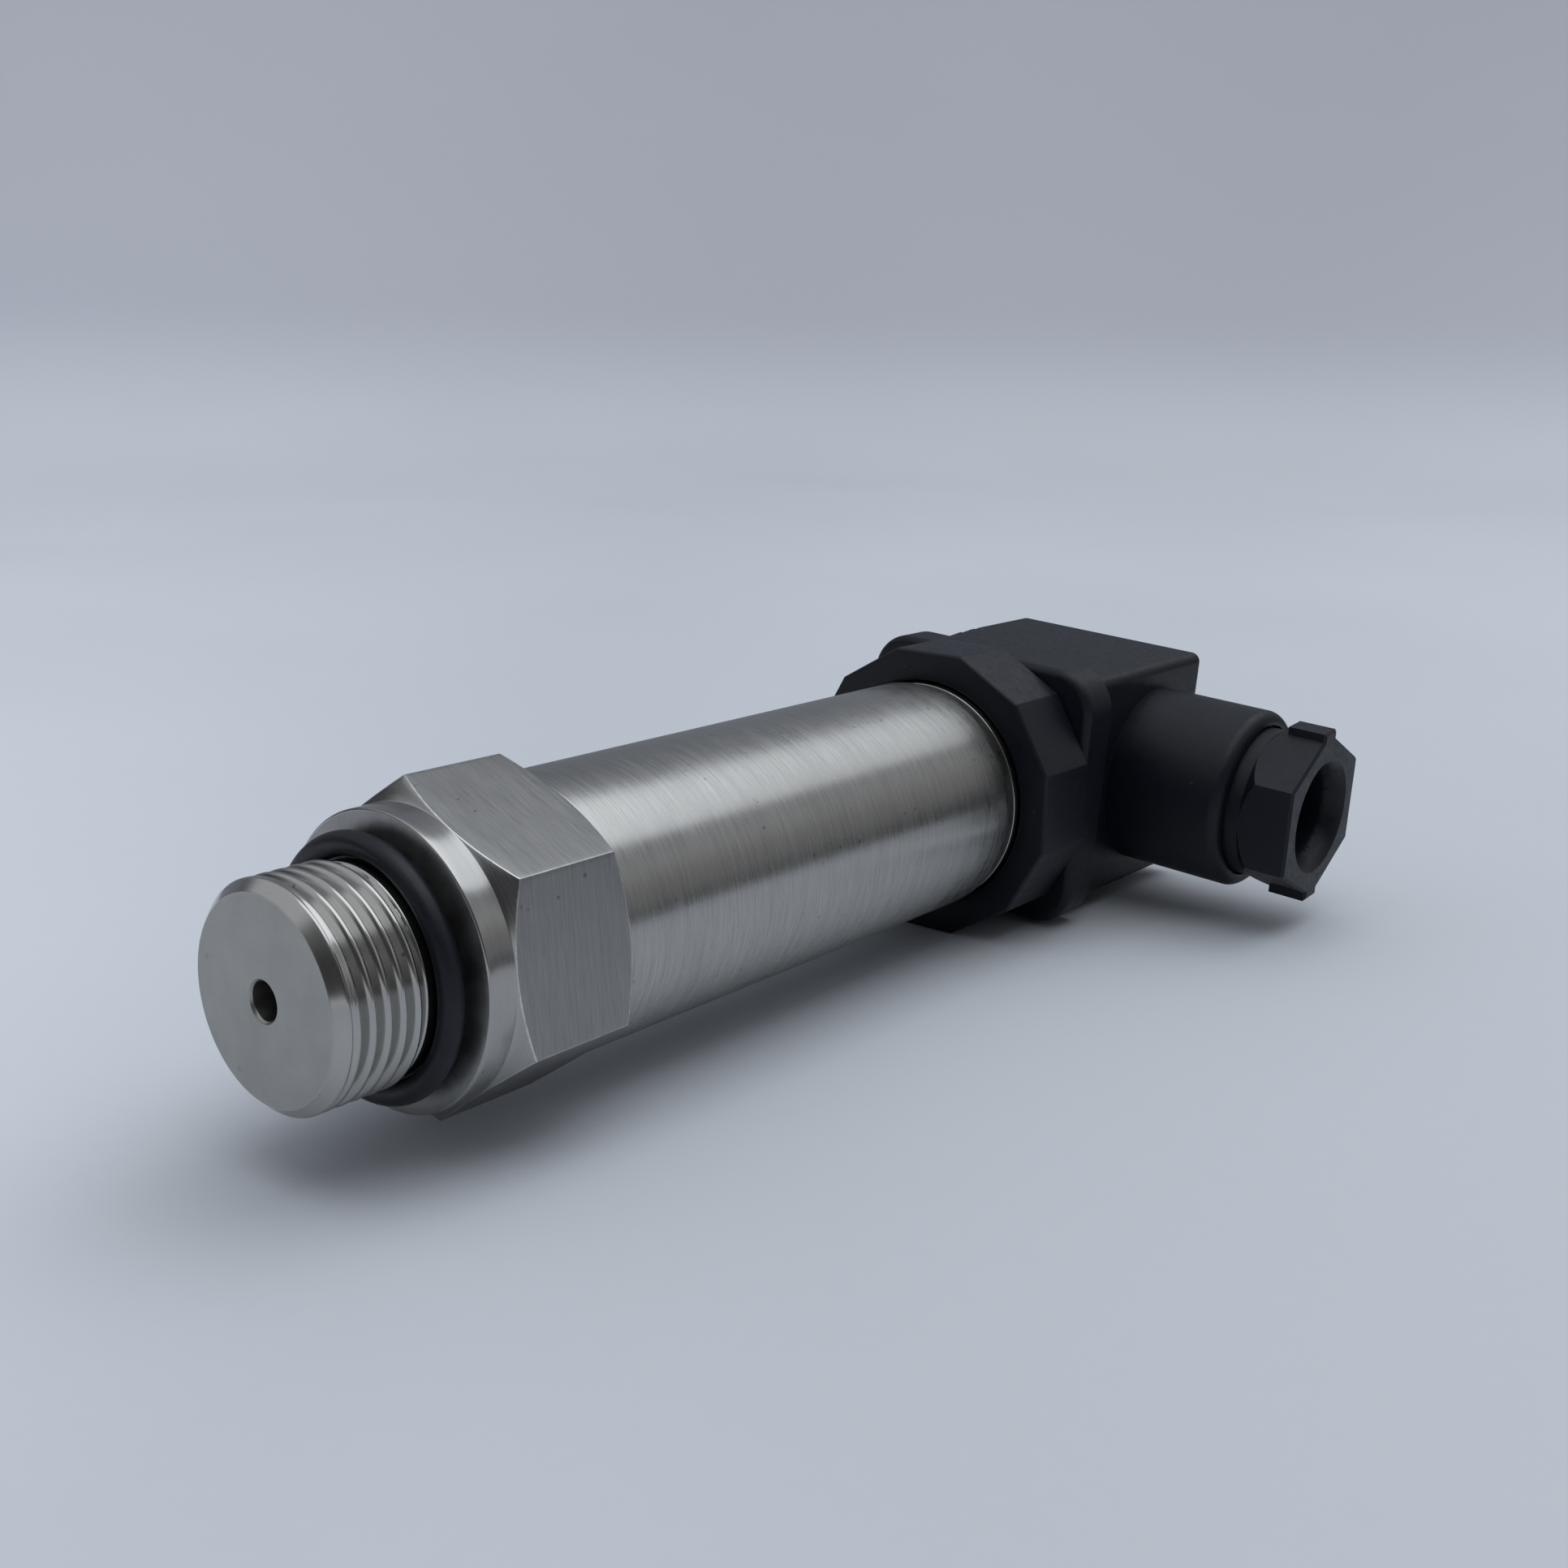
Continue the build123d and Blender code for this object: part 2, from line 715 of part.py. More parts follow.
# Slotted fixing screw down the middle of the plug, with a seal under its head
with BuildPart() as screw_washer:
    with BuildSketch(across(head_floor)):
        Circle(screw_head_diameter / 2)
        Circle(screw_hole_radius, mode=Mode.SUBTRACT)
    extrude(amount=washer_thickness)

with BuildPart() as fixing_screw:
    head_front = head_floor + washer_thickness + turn_gap
    with BuildSketch(across(boss_back - screw_engagement)):
        Circle(screw_radius)
    extrude(amount=head_front - boss_back + screw_engagement)
    with BuildSketch(across(head_front)):
        Circle(screw_head_diameter / 2)
    extrude(amount=screw_head_height)
    chamfer(fixing_screw.faces().sort_by(Axis.Y)[-1].edges(), edge_break)
    with BuildSketch(rolled(head_front + screw_head_height / 2)):
        Rectangle(screw_head_diameter, screw_slot)
    extrude(amount=screw_head_height, mode=Mode.SUBTRACT)

# Rubber bush, thrust ring and compression nut in the gland neck
bush_face = gland_ledge + bush_length
thrust_face = bush_face + thrust_thickness
with BuildPart() as gland_seal:
    with BuildSketch(gland_section):
        with BuildLine():
            Polyline(
                (gland_ledge, bush_bore / 2),
                (gland_ledge, gland_bore_radius - seat_clearance),
                (bush_face - bush_taper, gland_bore_radius - seat_clearance),
                (bush_face, gland_bore_radius - seat_clearance - bush_taper / 2),
                (bush_face, bush_bore / 2),
                close=True,
            )
        make_face()
    revolve(axis=gland_axis)

with BuildPart() as thrust_ring:
    with BuildSketch(across_gland(bush_face)):
        Circle(gland_bore_radius - seat_clearance)
        Circle(gland_nut_bore / 2, mode=Mode.SUBTRACT)
    extrude(amount=thrust_thickness)

gland_nut_radius = gland_nut_flats / 2
hex_start = gland_nut_reach - gland_hex_length
shoulder_start = neck_reach - mouth_depth + turn_gap
with BuildPart() as gland_nut:
    gland_corner_radius = gland_nut_radius / cos(radians(30))
    with BuildSketch(gland_section):
        with BuildLine():
            Polyline(
                (thrust_face + turn_gap, 0),
                (thrust_face + turn_gap, gland_bore_radius - gland_thread_clearance),
                (shoulder_start, gland_bore_radius - gland_thread_clearance),
                (shoulder_start, gland_nut_radius),
                (hex_start, gland_nut_radius),
                (hex_start + gland_shoulder_cone, gland_corner_radius),
                (gland_nut_reach, gland_corner_radius),
                (gland_nut_reach, 0),
                close=True,
            )
        make_face()
    revolve(axis=gland_axis)
    with BuildSketch(across_gland(0)):
        RegularPolygon(gland_corner_radius, 6, rotation=30 + gland_nut_turn)
    extrude(amount=gland_nut_reach, mode=Mode.INTERSECT)
    with BuildSketch(across_gland(gland_nut_reach - lug_length)):
        with PolarLocations(0, lug_count, start_angle=90 + gland_nut_turn):
            with Locations((lug_radius - lug_width / 2, 0)):
                Rectangle(lug_width, lug_width)
    extrude(amount=lug_length)
    chamfer(gland_nut.faces().sort_by(gland_axis)[-1].edges(), lug_chamfer)
    with BuildSketch(gland_section):
        with BuildLine():
            Polyline(
                (0, 0),
                (0, gland_nut_bore / 2),
                (gland_nut_reach - gland_mouth_depth, gland_nut_bore / 2),
                (gland_nut_reach - gland_mouth_chamfer, gland_mouth_diameter / 2),
                (gland_nut_reach, gland_mouth_diameter / 2 + gland_mouth_chamfer),
                (gland_nut_reach, 0),
                close=True,
            )
        make_face()
    revolve(axis=gland_axis, mode=Mode.SUBTRACT)

os.makedirs("parts", exist_ok=True)
pieces = {
    "process_fitting": process_fitting,
    "port_seal_ring": port_seal_ring,
    "sensor_cell": sensor_cell,
    "cell_seal_ring": cell_seal_ring,
    "isolating_diaphragm": isolating_diaphragm,
    "cell_retaining_ring": cell_retaining_ring,
    "header_pins": header_pins,
    "housing_tube": housing_tube,
    "end_collar": end_collar,
    "front_carrier": front_carrier,
    "rear_carrier": rear_carrier,
    "circuit_board": circuit_board,
    "amplifier_chip": amplifier_chip,
    "trim_pots": trim_pots,
    "filter_capacitors": filter_capacitors,
    "signal_leads": signal_leads,
    "base_seal": base_seal,
    "clamp_ring": clamp_ring,
    "coupling_nut": coupling_nut,
    "connector_base": connector_base,
    "contact_blades": contact_blades,
    "earth_blade": earth_blade,
    "base_thread_insert": base_thread_insert,
    "profile_gasket": profile_gasket,
    "connector_housing": connector_housing,
    "terminal_insert": terminal_insert,
    "terminal_clamps": terminal_clamps,
    "terminal_screws": terminal_screws,
    "screw_washer": screw_washer,
    "fixing_screw": fixing_screw,
    "gland_seal": gland_seal,
    "thrust_ring": thrust_ring,
    "gland_nut": gland_nut,
}
for node_name, piece in pieces.items():
    piece.part.label = node_name
    export_step(piece.part, f"parts/{node_name}.step")
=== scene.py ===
import json
import math

import bmesh
import bpy
import numpy as np
from mathutils import Matrix


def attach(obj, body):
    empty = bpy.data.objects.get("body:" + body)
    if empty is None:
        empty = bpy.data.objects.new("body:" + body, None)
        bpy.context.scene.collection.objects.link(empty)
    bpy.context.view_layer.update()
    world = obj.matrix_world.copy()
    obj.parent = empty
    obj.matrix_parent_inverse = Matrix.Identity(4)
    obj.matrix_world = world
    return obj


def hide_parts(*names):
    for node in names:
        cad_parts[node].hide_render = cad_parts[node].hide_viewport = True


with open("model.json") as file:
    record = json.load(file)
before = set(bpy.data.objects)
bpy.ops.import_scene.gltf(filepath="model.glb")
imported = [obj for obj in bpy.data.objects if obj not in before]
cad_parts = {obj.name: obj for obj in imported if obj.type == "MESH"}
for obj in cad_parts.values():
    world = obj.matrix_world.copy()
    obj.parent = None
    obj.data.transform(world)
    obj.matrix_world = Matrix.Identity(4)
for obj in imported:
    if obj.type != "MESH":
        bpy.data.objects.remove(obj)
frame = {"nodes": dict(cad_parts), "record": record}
scene = bpy.context.scene
scene.view_settings.view_transform = "Standard"
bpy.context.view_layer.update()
mm = 0.001  # the sizes of the shapes below are in millimetres
gridSharp = math.radians(38)  # a fold above this angle stays crisp
mouldSharp = math.radians(32)
print("frame loaded:", len(frame["nodes"]), "nodes")


# shapes are grids of points: angles round the sensor's axis by rows along a profile

# half the angle of one side, and half the angle that a rounded corner takes
def cornerSpan(sides, rounding, flat):
    half = math.pi / sides
    return half, half - math.atan((flat - rounding) * math.tan(half) / flat)


# angles round a regular polygon: dense over each rounded corner, even along each flat
def polygonAngles(sides, cornerAngle, rounding, flat, perSide, perCorner=7):
    half, tangent = cornerSpan(sides, rounding, flat)
    corner = np.linspace(-tangent, tangent, perCorner)
    side = np.linspace(tangent, 2 * half - tangent, perSide + 1)[1:-1]
    one = np.concatenate([corner, side])
    return (math.radians(cornerAngle) + one[None, :] + 2 * half * np.arange(sides)[:, None]).ravel()


# radius of a polygon with rounded corners: flat / cos(angle from the flat's middle), and near a
# corner the far crossing with a circle of the rounding's radius
def polygonRadius(angles, sides, cornerAngle, rounding, flat):
    half, tangent = cornerSpan(sides, rounding, flat)
    away = (angles - math.radians(cornerAngle) + half) % (2 * half) - half
    reach = (flat - rounding) / math.cos(half)
    onCorner = reach * np.cos(away) + np.sqrt(np.maximum(rounding**2 - (reach * np.sin(away)) ** 2, 0))
    onFlat = flat / np.cos(half - np.abs(away))
    return np.where(np.abs(away) < tangent, onCorner, onFlat)


# points at a radius and a station: (radius cos, radius sin, station), each one number or an array
def roundPoints(angles, radius, station):
    across, up = radius * np.cos(angles), radius * np.sin(angles)
    return np.stack([across, up, np.broadcast_to(station, across.shape)], -1)


# a profile carried round the axis. A corner is (radius, station, soft, slot, spans) and perhaps the slot
# of its rounding. Corners are joined by straight spans, and a soft corner P is replaced by the quadratic
# curve (1-t)^2 A + 2t(1-t) P + t^2 C, whose ends A and C lie "soft" away on the two sides that meet
# there, but never further along a side than mostOfSide of its length
curveSteps = (0, 0.33, 0.67, 1)
mostOfSide = 0.45


def carriedRows(angles, corners):
    points = [roundPoints(angles, radius, station) for radius, station, *_ in corners]
    rows, slots = [], []
    for k, (_, _, soft, slot, spans, *roundingSlot) in enumerate(corners):
        here, nextPoint = points[k], points[(k + 1) % len(corners)]
        if soft > 0:
            ends = []
            for other in (points[k - 1], nextPoint):
                length = np.linalg.norm(other - here, axis=1, keepdims=True)
                away = np.minimum(soft, length * mostOfSide)
                ends.append(here + (other - here) / np.maximum(length, 1e-9) * away)
            for t in curveSteps:
                rows.append((1 - t) ** 2 * ends[0] + 2 * t * (1 - t) * here + t * t * ends[1])
                slots.append(roundingSlot[0] if roundingSlot and t < 1 else slot)
        else:
            rows.append(here)
            slots.append(slot)
        for step in range(1, spans):
            rows.append(here + (nextPoint - here) * step / spans)
            slots.append(slot)
    return np.stack(rows, 1), slots


# quads of a grid that closes round its first direction, and round its second when loop is set
def gridFaces(around, rows, loop):
    i = np.arange(around)[:, None]
    j = np.arange(rows if loop else rows - 1)[None, :]
    nextI, nextJ = (i + 1) % around, (j + 1) % rows
    quads = np.stack([i * rows + j, nextI * rows + j, nextI * rows + nextJ, i * rows + nextJ], -1)
    return quads.reshape(-1, 4)


# lets a finished object ride its body and stand for its node
def dressed(piece, body, nodeName):
    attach(piece, body)
    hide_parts(nodeName)
    print("made", piece.name, len(piece.data.polygons), "faces")


# one object from a grid that closes both ways; each row of quads has its material in slots.
# The grid's (across, up, station) become x, z and y
def pieceFromGrid(name, points, slots, materials, body, nodeName):
    around, rows = points.shape[:2]
    verts = points[..., [0, 2, 1]].reshape(-1, 3) * mm
    quads = gridFaces(around, rows, True)
    mesh = bpy.data.meshes.new(name)
    mesh.vertices.add(len(verts))
    mesh.vertices.foreach_set("co", verts.ravel())
    mesh.loops.add(quads.size)
    mesh.loops.foreach_set("vertex_index", quads.ravel())
    mesh.polygons.add(len(quads))
    mesh.polygons.foreach_set("loop_start", np.arange(len(quads)) * 4)
    mesh.polygons.foreach_set("material_index", np.tile(np.array(slots), around))
    mesh.update(calc_edges=True)
    work = bmesh.new()
    work.from_mesh(mesh)
    bmesh.ops.remove_doubles(work, verts=work.verts, dist=1e-8)
    bmesh.ops.recalc_face_normals(work, faces=work.faces)
    work.to_mesh(mesh)
    work.free()
    mesh.shade_smooth()
    mesh.set_sharp_from_angle(angle=gridSharp)
    for material in materials:
        mesh.materials.append(material)
    piece = bpy.data.objects.new(name, mesh)
    scene.collection.objects.link(piece)
    dressed(piece, body, nodeName)


# a moulded piece: the CAD node's own triangles, merged, with soft edges
def mouldedCopy(name, nodeName, material, body, soft):
    source = frame["nodes"][nodeName].data
    co = np.empty(len(source.vertices) * 3)
    source.vertices.foreach_get("co", co)
    co = co.reshape(-1, 3)
    source.calc_loop_triangles()
    tri = np.empty(len(source.loop_triangles) * 3, dtype=np.int32)
    source.loop_triangles.foreach_get("vertices", tri)
    key = np.round(co / 1e-7).astype(np.int64)  # points within 0.1 micrometre are one
    _, first, back = np.unique(key, axis=0, return_index=True, return_inverse=True)
    tri = back.reshape(-1)[tri].reshape(-1, 3)
    mesh = bpy.data.meshes.new(name)
    mesh.from_pydata(co[first].tolist(), [], tri.tolist())
    work = bmesh.new()
    work.from_mesh(mesh)
    bmesh.ops.dissolve_limit(work, angle_limit=math.radians(0.5), verts=work.verts, edges=work.edges)
    work.to_mesh(mesh)
    work.free()
    mesh.materials.append(material)
    mesh.shade_smooth()
    mesh.set_sharp_from_angle(angle=mouldSharp)
    piece = bpy.data.objects.new(name, mesh)
    scene.collection.objects.link(piece)
    bevel = piece.modifiers.new("soft edges", "BEVEL")
    bevel.width = soft * mm
    bevel.segments = 2
    bevel.limit_method = "ANGLE"
    bevel.angle_limit = mouldSharp
    bevel.miter_outer = "MITER_ARC"
    weighted = piece.modifiers.new("flat sides", "WEIGHTED_NORMAL")
    weighted.keep_sharp = False
    dressed(piece, body, nodeName)


# helpers for shader nodes

def node(tree, kind, settings=None, **values):
    made = tree.nodes.new(kind)
    for key, value in (settings or {}).items():
        setattr(made, key, value)
    for key, value in values.items():
        made.inputs[key.replace("_", " ")].default_value = value
    return made


# a socket takes a number, a colour or another node's output
def put(tree, value, socket):
    if isinstance(value, (int, float)):
        socket.default_value = value
    elif isinstance(value, tuple):
        socket.default_value = (*value, 1.0)
    else:
        tree.links.new(value, socket)


def newGroup(name, inputs, outputs):
    group = bpy.data.node_groups.new(name, "ShaderNodeTree")
    group.interface.new_socket("Vector", in_out="INPUT", socket_type="NodeSocketVector")
    for label, value in inputs:
        group.interface.new_socket(label, in_out="INPUT", socket_type="NodeSocketFloat").default_value = value
    for label in outputs:
        group.interface.new_socket(label, in_out="OUTPUT", socket_type="NodeSocketFloat")
    return group, group.nodes.new("NodeGroupInput").outputs, group.nodes.new("NodeGroupOutput").inputs


def math2(tree, operation, first, second=None, clamp=False):
    made = node(tree, "ShaderNodeMath", {"operation": operation, "use_clamp": clamp})
    put(tree, first, made.inputs[0])
    if second is not None:
        put(tree, second, made.inputs[1])
    return made.outputs[0]


# first times its share plus second times the rest
def blended(tree, first, share, second):
    return math2(
        tree, "ADD", math2(tree, "MULTIPLY", first, share), math2(tree, "MULTIPLY", second, 1.0 - share)
    )


def rangeOf(tree, value, low, high, toLow=0.0, toHigh=1.0, smooth=False):
    made = node(tree, "ShaderNodeMapRange", {"interpolation_type": "SMOOTHSTEP"} if smooth else None)
    put(tree, value, made.inputs["Value"])
    for label, number in zip(("From Min", "From Max", "To Min", "To Max"), (low, high, toLow, toHigh)):
        put(tree, number, made.inputs[label])
    return made.outputs["Result"]


def noiseOf(tree, vector, scale, detail, roughness):
    made = node(tree, "ShaderNodeTexNoise", Detail=detail, Roughness=roughness)
    put(tree, vector, made.inputs["Vector"])
    put(tree, scale, made.inputs["Scale"])
    return made.outputs["Fac"]


# shared effects as node groups

# hairlines that run round the sensor's axis: noise squeezed along Y, fine lines and broad ones
def makeBrushGroup():
    group, start, end = newGroup(
        "hairlines", [("Fineness", 14000.0), ("Drift", 0.02)], ["Lines", "Broad"]
    )
    for label, share, detail, roughness in (("Lines", 1.0, 4.0, 0.7), ("Broad", 0.16, 3.0, 0.6)):
        scale = math2(group, "MULTIPLY", start["Fineness"], share)
        across = math2(group, "MULTIPLY", scale, start["Drift"])
        squeeze = node(group, "ShaderNodeCombineXYZ")
        for axis, value in (("X", across), ("Y", scale), ("Z", across)):
            put(group, value, squeeze.inputs[axis])
        stretched = node(group, "ShaderNodeVectorMath", {"operation": "MULTIPLY"})
        put(group, start["Vector"], stretched.inputs[0])
        put(group, squeeze.outputs[0], stretched.inputs[1])
        put(group, noiseOf(group, stretched.outputs[0], 1.0, detail, roughness), end[label])
    return group


# where an edge is near: how far the rounded normal turns from the face's own. On the steels the pale edge it
# lays on is edge wear and a painted highlight
def makeEdgeGroup():
    group, start, end = newGroup(
        "edge mask", [("Reach", 0.00015), ("Gain", 9.0), ("Breakup", 900.0)], ["Mask"]
    )
    bevel = node(group, "ShaderNodeBevel", {"samples": 4})
    put(group, start["Reach"], bevel.inputs["Radius"])
    geometry = node(group, "ShaderNodeNewGeometry")
    dot = node(group, "ShaderNodeVectorMath", {"operation": "DOT_PRODUCT"})
    put(group, bevel.outputs["Normal"], dot.inputs[0])
    put(group, geometry.outputs["Normal"], dot.inputs[1])
    turned = math2(group, "SUBTRACT", 1.0, dot.outputs["Value"])
    noise = noiseOf(group, start["Vector"], start["Breakup"], detail=3.0, roughness=0.6)
    uneven = rangeOf(group, noise, 0.35, 0.65, toLow=0.35, toHigh=1.0)  # broken up, so the mask takes full effect in places only
    gained = math2(group, "MULTIPLY", turned, start["Gain"])
    put(group, math2(group, "MULTIPLY", gained, uneven, clamp=True), end["Mask"])
    return group


# scattered specks: cells whose own random value is high enough show a small blurred spot
def makeSpeckGroup():
    group, start, end = newGroup("specks", [("Scale", 500.0), ("Size", 0.12), ("Rarity", 0.7)], ["Mask"])
    cells = node(group, "ShaderNodeTexVoronoi", {"feature": "F1"})
    put(group, start["Vector"], cells.inputs["Vector"])
    put(group, start["Scale"], cells.inputs["Scale"])
    split = node(group, "ShaderNodeSeparateColor")
    put(group, cells.outputs["Color"], split.inputs["Color"])
    chosen = math2(group, "GREATER_THAN", split.outputs["Red"], start["Rarity"])
    sized = math2(group, "MULTIPLY", start["Size"], math2(group, "ADD", split.outputs["Green"], 0.35))
    spot = rangeOf(group, cells.outputs["Distance"], 0.0, sized, toLow=1.0, toHigh=0.0, smooth=True)
    put(group, math2(group, "MULTIPLY", chosen, spot, clamp=True), end["Mask"])
    return group


# slow cloudy change of tone, from two sizes of noise
def makeCloudGroup():
    group, start, end = newGroup("clouds", [("Scale", 120.0), ("Fine", 6.0)], ["Slow", "Quick"])
    quickScale = math2(group, "MULTIPLY", start["Scale"], start["Fine"])
    put(group, noiseOf(group, start["Vector"], start["Scale"], detail=3.0, roughness=0.55), end["Slow"])
    put(group, noiseOf(group, start["Vector"], quickScale, detail=4.0, roughness=0.6), end["Quick"])
    return group


# a sparked mould surface: fine even grain over a slower unevenness
def makeGrainGroup():
    group, start, end = newGroup("mould grain", [("Scale", 9000.0)], ["Height"])
    slowScale = math2(group, "MULTIPLY", start["Scale"], 0.02)
    fine = noiseOf(group, start["Vector"], start["Scale"], detail=2.0, roughness=0.5)
    slow = noiseOf(group, start["Vector"], slowScale, detail=2.0, roughness=0.5)
    put(group, math2(group, "ADD", fine, math2(group, "MULTIPLY", slow, 0.6)), end["Height"])
    return group


hairlines = makeBrushGroup()
edgeMask = makeEdgeGroup()
specks = makeSpeckGroup()
clouds = makeCloudGroup()
mouldGrain = makeGrainGroup()


def effect(tree, group, coords, **values):
    made = node(tree, "ShaderNodeGroup", {"node_tree": group}, **values)
    put(tree, coords, made.inputs["Vector"])
    return made.outputs


def mixColour(tree, factor, first, second, blend="MIX"):
    made = node(tree, "ShaderNodeMix", {"data_type": "RGBA", "blend_type": blend})
    for k, value in ((0, factor), (6, first), (7, second)):  # the mix node's factor and colour sockets
        put(tree, value, made.inputs[k])
    return made.outputs[2]


def newMaterial(name, metallic, ior=1.5, **sockets):
    material = bpy.data.materials.new(name)
    material.use_nodes = True
    tree = material.node_tree
    shader = tree.nodes["Principled BSDF"]
    shader.inputs["Metallic"].default_value = metallic
    shader.inputs["IOR"].default_value = ior
    for key, value in sockets.items():
        shader.inputs[key.replace("_", " ")].default_value = value
    coords = tree.nodes.new("ShaderNodeTexCoord").outputs["Object"]
    return material, tree, shader, coords


def bumped(tree, shader, height, strength, distance):
    bump = node(tree, "ShaderNodeBump", Strength=strength, Distance=distance)
    put(tree, height, bump.inputs["Height"])
    put(tree, bump.outputs["Normal"], shader.inputs["Normal"])


# the stretched shine follows a tangent that runs round the sensor's axis
def roundTangent(tree, shader):
    tangent = node(tree, "ShaderNodeTangent", {"direction_type": "RADIAL", "axis": "Y"})
    put(tree, tangent.outputs[0], shader.inputs["Tangent"])


# stainless steel with hairlines round the axis; tone and roughness wander with the lines
steelLook = {
    "tube": dict(
        tone=(0.51, 0.503, 0.487), dark=(0.345, 0.34, 0.329), rough=(0.24, 0.34), stretch=0.72,
        fineness=9500.0, drift=0.022, bump=0.16, specks=0.8, edge=0.00012, gain=7.0,
    ),
    "hex": dict(
        tone=(0.358, 0.354, 0.350), dark=(0.252, 0.249, 0.246), rough=(0.32, 0.42), stretch=0.5,
        # the high edge gain makes the hexagon's pale edges a painted highlight line as well as edge wear
        fineness=9000.0, drift=0.03, bump=0.2, specks=0.9, edge=0.00014, gain=32.0,
    ),
    "collar": dict(
        tone=(0.45, 0.443, 0.432), dark=(0.38, 0.374, 0.365), rough=(0.19, 0.27), stretch=0.6,
        fineness=16000.0, drift=0.004, bump=0.03, specks=0.4, edge=0.00012, gain=7.0,
    ),
    "thread": dict(
        tone=(0.465, 0.456, 0.44), dark=(0.435, 0.427, 0.412), rough=(0.17, 0.205), stretch=0.35,
        fineness=12000.0, drift=0.004, bump=0.005, specks=0.35, edge=0.00008, gain=0.0,
    ),
    # the hexagon's rounded corners: a much paler steel that paints a highlight along the arcs where the cones
    # meet the flats, with edge wear
    "wearAndHighlight": dict(
        tone=(0.74, 0.735, 0.73), dark=(0.44, 0.435, 0.43), rough=(0.22, 0.36), stretch=0.2,
        fineness=1800.0, drift=0.6, bump=0.08, specks=0.9, edge=0.00012, gain=7.0,
    ),
    "cell": dict(
        tone=(0.60, 0.60, 0.59), dark=(0.5, 0.5, 0.5), rough=(0.18, 0.3), stretch=0.5,
        fineness=12000.0, drift=0.01, bump=0.05, specks=0.3, edge=0.00012, gain=7.0,
    ),
}
# what the steels share: a band is the part of a noise's range over which it takes effect
steelShared = dict(
    lineBand=(0.36, 0.62), fineShare=0.82, cloudScale=90.0, cloudFine=5.0, cloudBand=(0.35, 0.75),
    # the pale edge colour is edge wear and a painted highlight along the steels' edges
    cloudStrength=0.22, roughBand=(0.38, 0.62), roughShare=0.7, paleEdge=(0.82, 0.81, 0.80),
    pitScale=680.0, pitSize=0.16, pitShare=0.45, pitStrength=0.8, pitDepth=0.7, pit=(0.10, 0.09, 0.08),
)
steelRelief = 0.00004  # metres of bump at full height
quarterTurn = 0.25  # the shine stretches across the hairlines


def makeSteel(name, s):
    material, tree, shader, coords = newMaterial(
        name, 1.0, Anisotropic=s["stretch"], Anisotropic_Rotation=quarterTurn
    )
    lines = effect(tree, hairlines, coords, Fineness=s["fineness"], Drift=s["drift"])
    cloud = effect(tree, clouds, coords, Scale=s["cloudScale"], Fine=s["cloudFine"])
    rarity = 1.0 - s["pitShare"] * s["specks"]
    pits = effect(tree, specks, coords, Scale=s["pitScale"], Size=s["pitSize"], Rarity=rarity)["Mask"]
    edges = effect(tree, edgeMask, coords, Reach=s["edge"], Gain=s["gain"])["Mask"]
    spread = blended(tree, lines["Lines"], s["fineShare"], lines["Broad"])
    tone = mixColour(tree, rangeOf(tree, spread, *s["lineBand"]), s["dark"], s["tone"])
    dulled = rangeOf(tree, cloud["Slow"], *s["cloudBand"], toHigh=s["cloudStrength"])
    # near edges the tone goes to a pale colour: edge wear, and a painted highlight along the edges
    wearAndHighlight = mixColour(tree, edges, mixColour(tree, dulled, tone, s["dark"]), s["paleEdge"])
    pitted = mixColour(tree, math2(tree, "MULTIPLY", pits, s["pitStrength"]), wearAndHighlight, s["pit"])
    put(tree, pitted, shader.inputs["Base Color"])
    wander = blended(tree, spread, s["roughShare"], cloud["Quick"])
    put(tree, rangeOf(tree, wander, *s["roughBand"], *s["rough"]), shader.inputs["Roughness"])
    height = math2(tree, "SUBTRACT", spread, math2(tree, "MULTIPLY", pits, s["pitDepth"]))
    bumped(tree, shader, height, s["bump"], steelRelief)
    roundTangent(tree, shader)
    return material


# the front face was turned on a lathe, so its marks are rings round the axis
facedLook = dict(
    tone=(0.365, 0.36, 0.343), dark=(0.325, 0.32, 0.305), rough=(0.30, 0.40), stretch=0.35, bump=0.08,
    ringScale=11000.0, ringDetail=3.0, ringShare=0.6, cloudScale=260.0, cloudFine=7.0,
    # the pale edge colour is edge wear and a painted highlight along the face's edges
    cloudBand=(0.3, 0.7), roughBand=(0.35, 0.65), edge=0.00015, gain=6.0, paleEdge=(0.74, 0.73, 0.71),
    pitScale=560.0, pitSize=0.2, pitRarity=0.62, pitStrength=0.6, pit=(0.2, 0.19, 0.18),
)


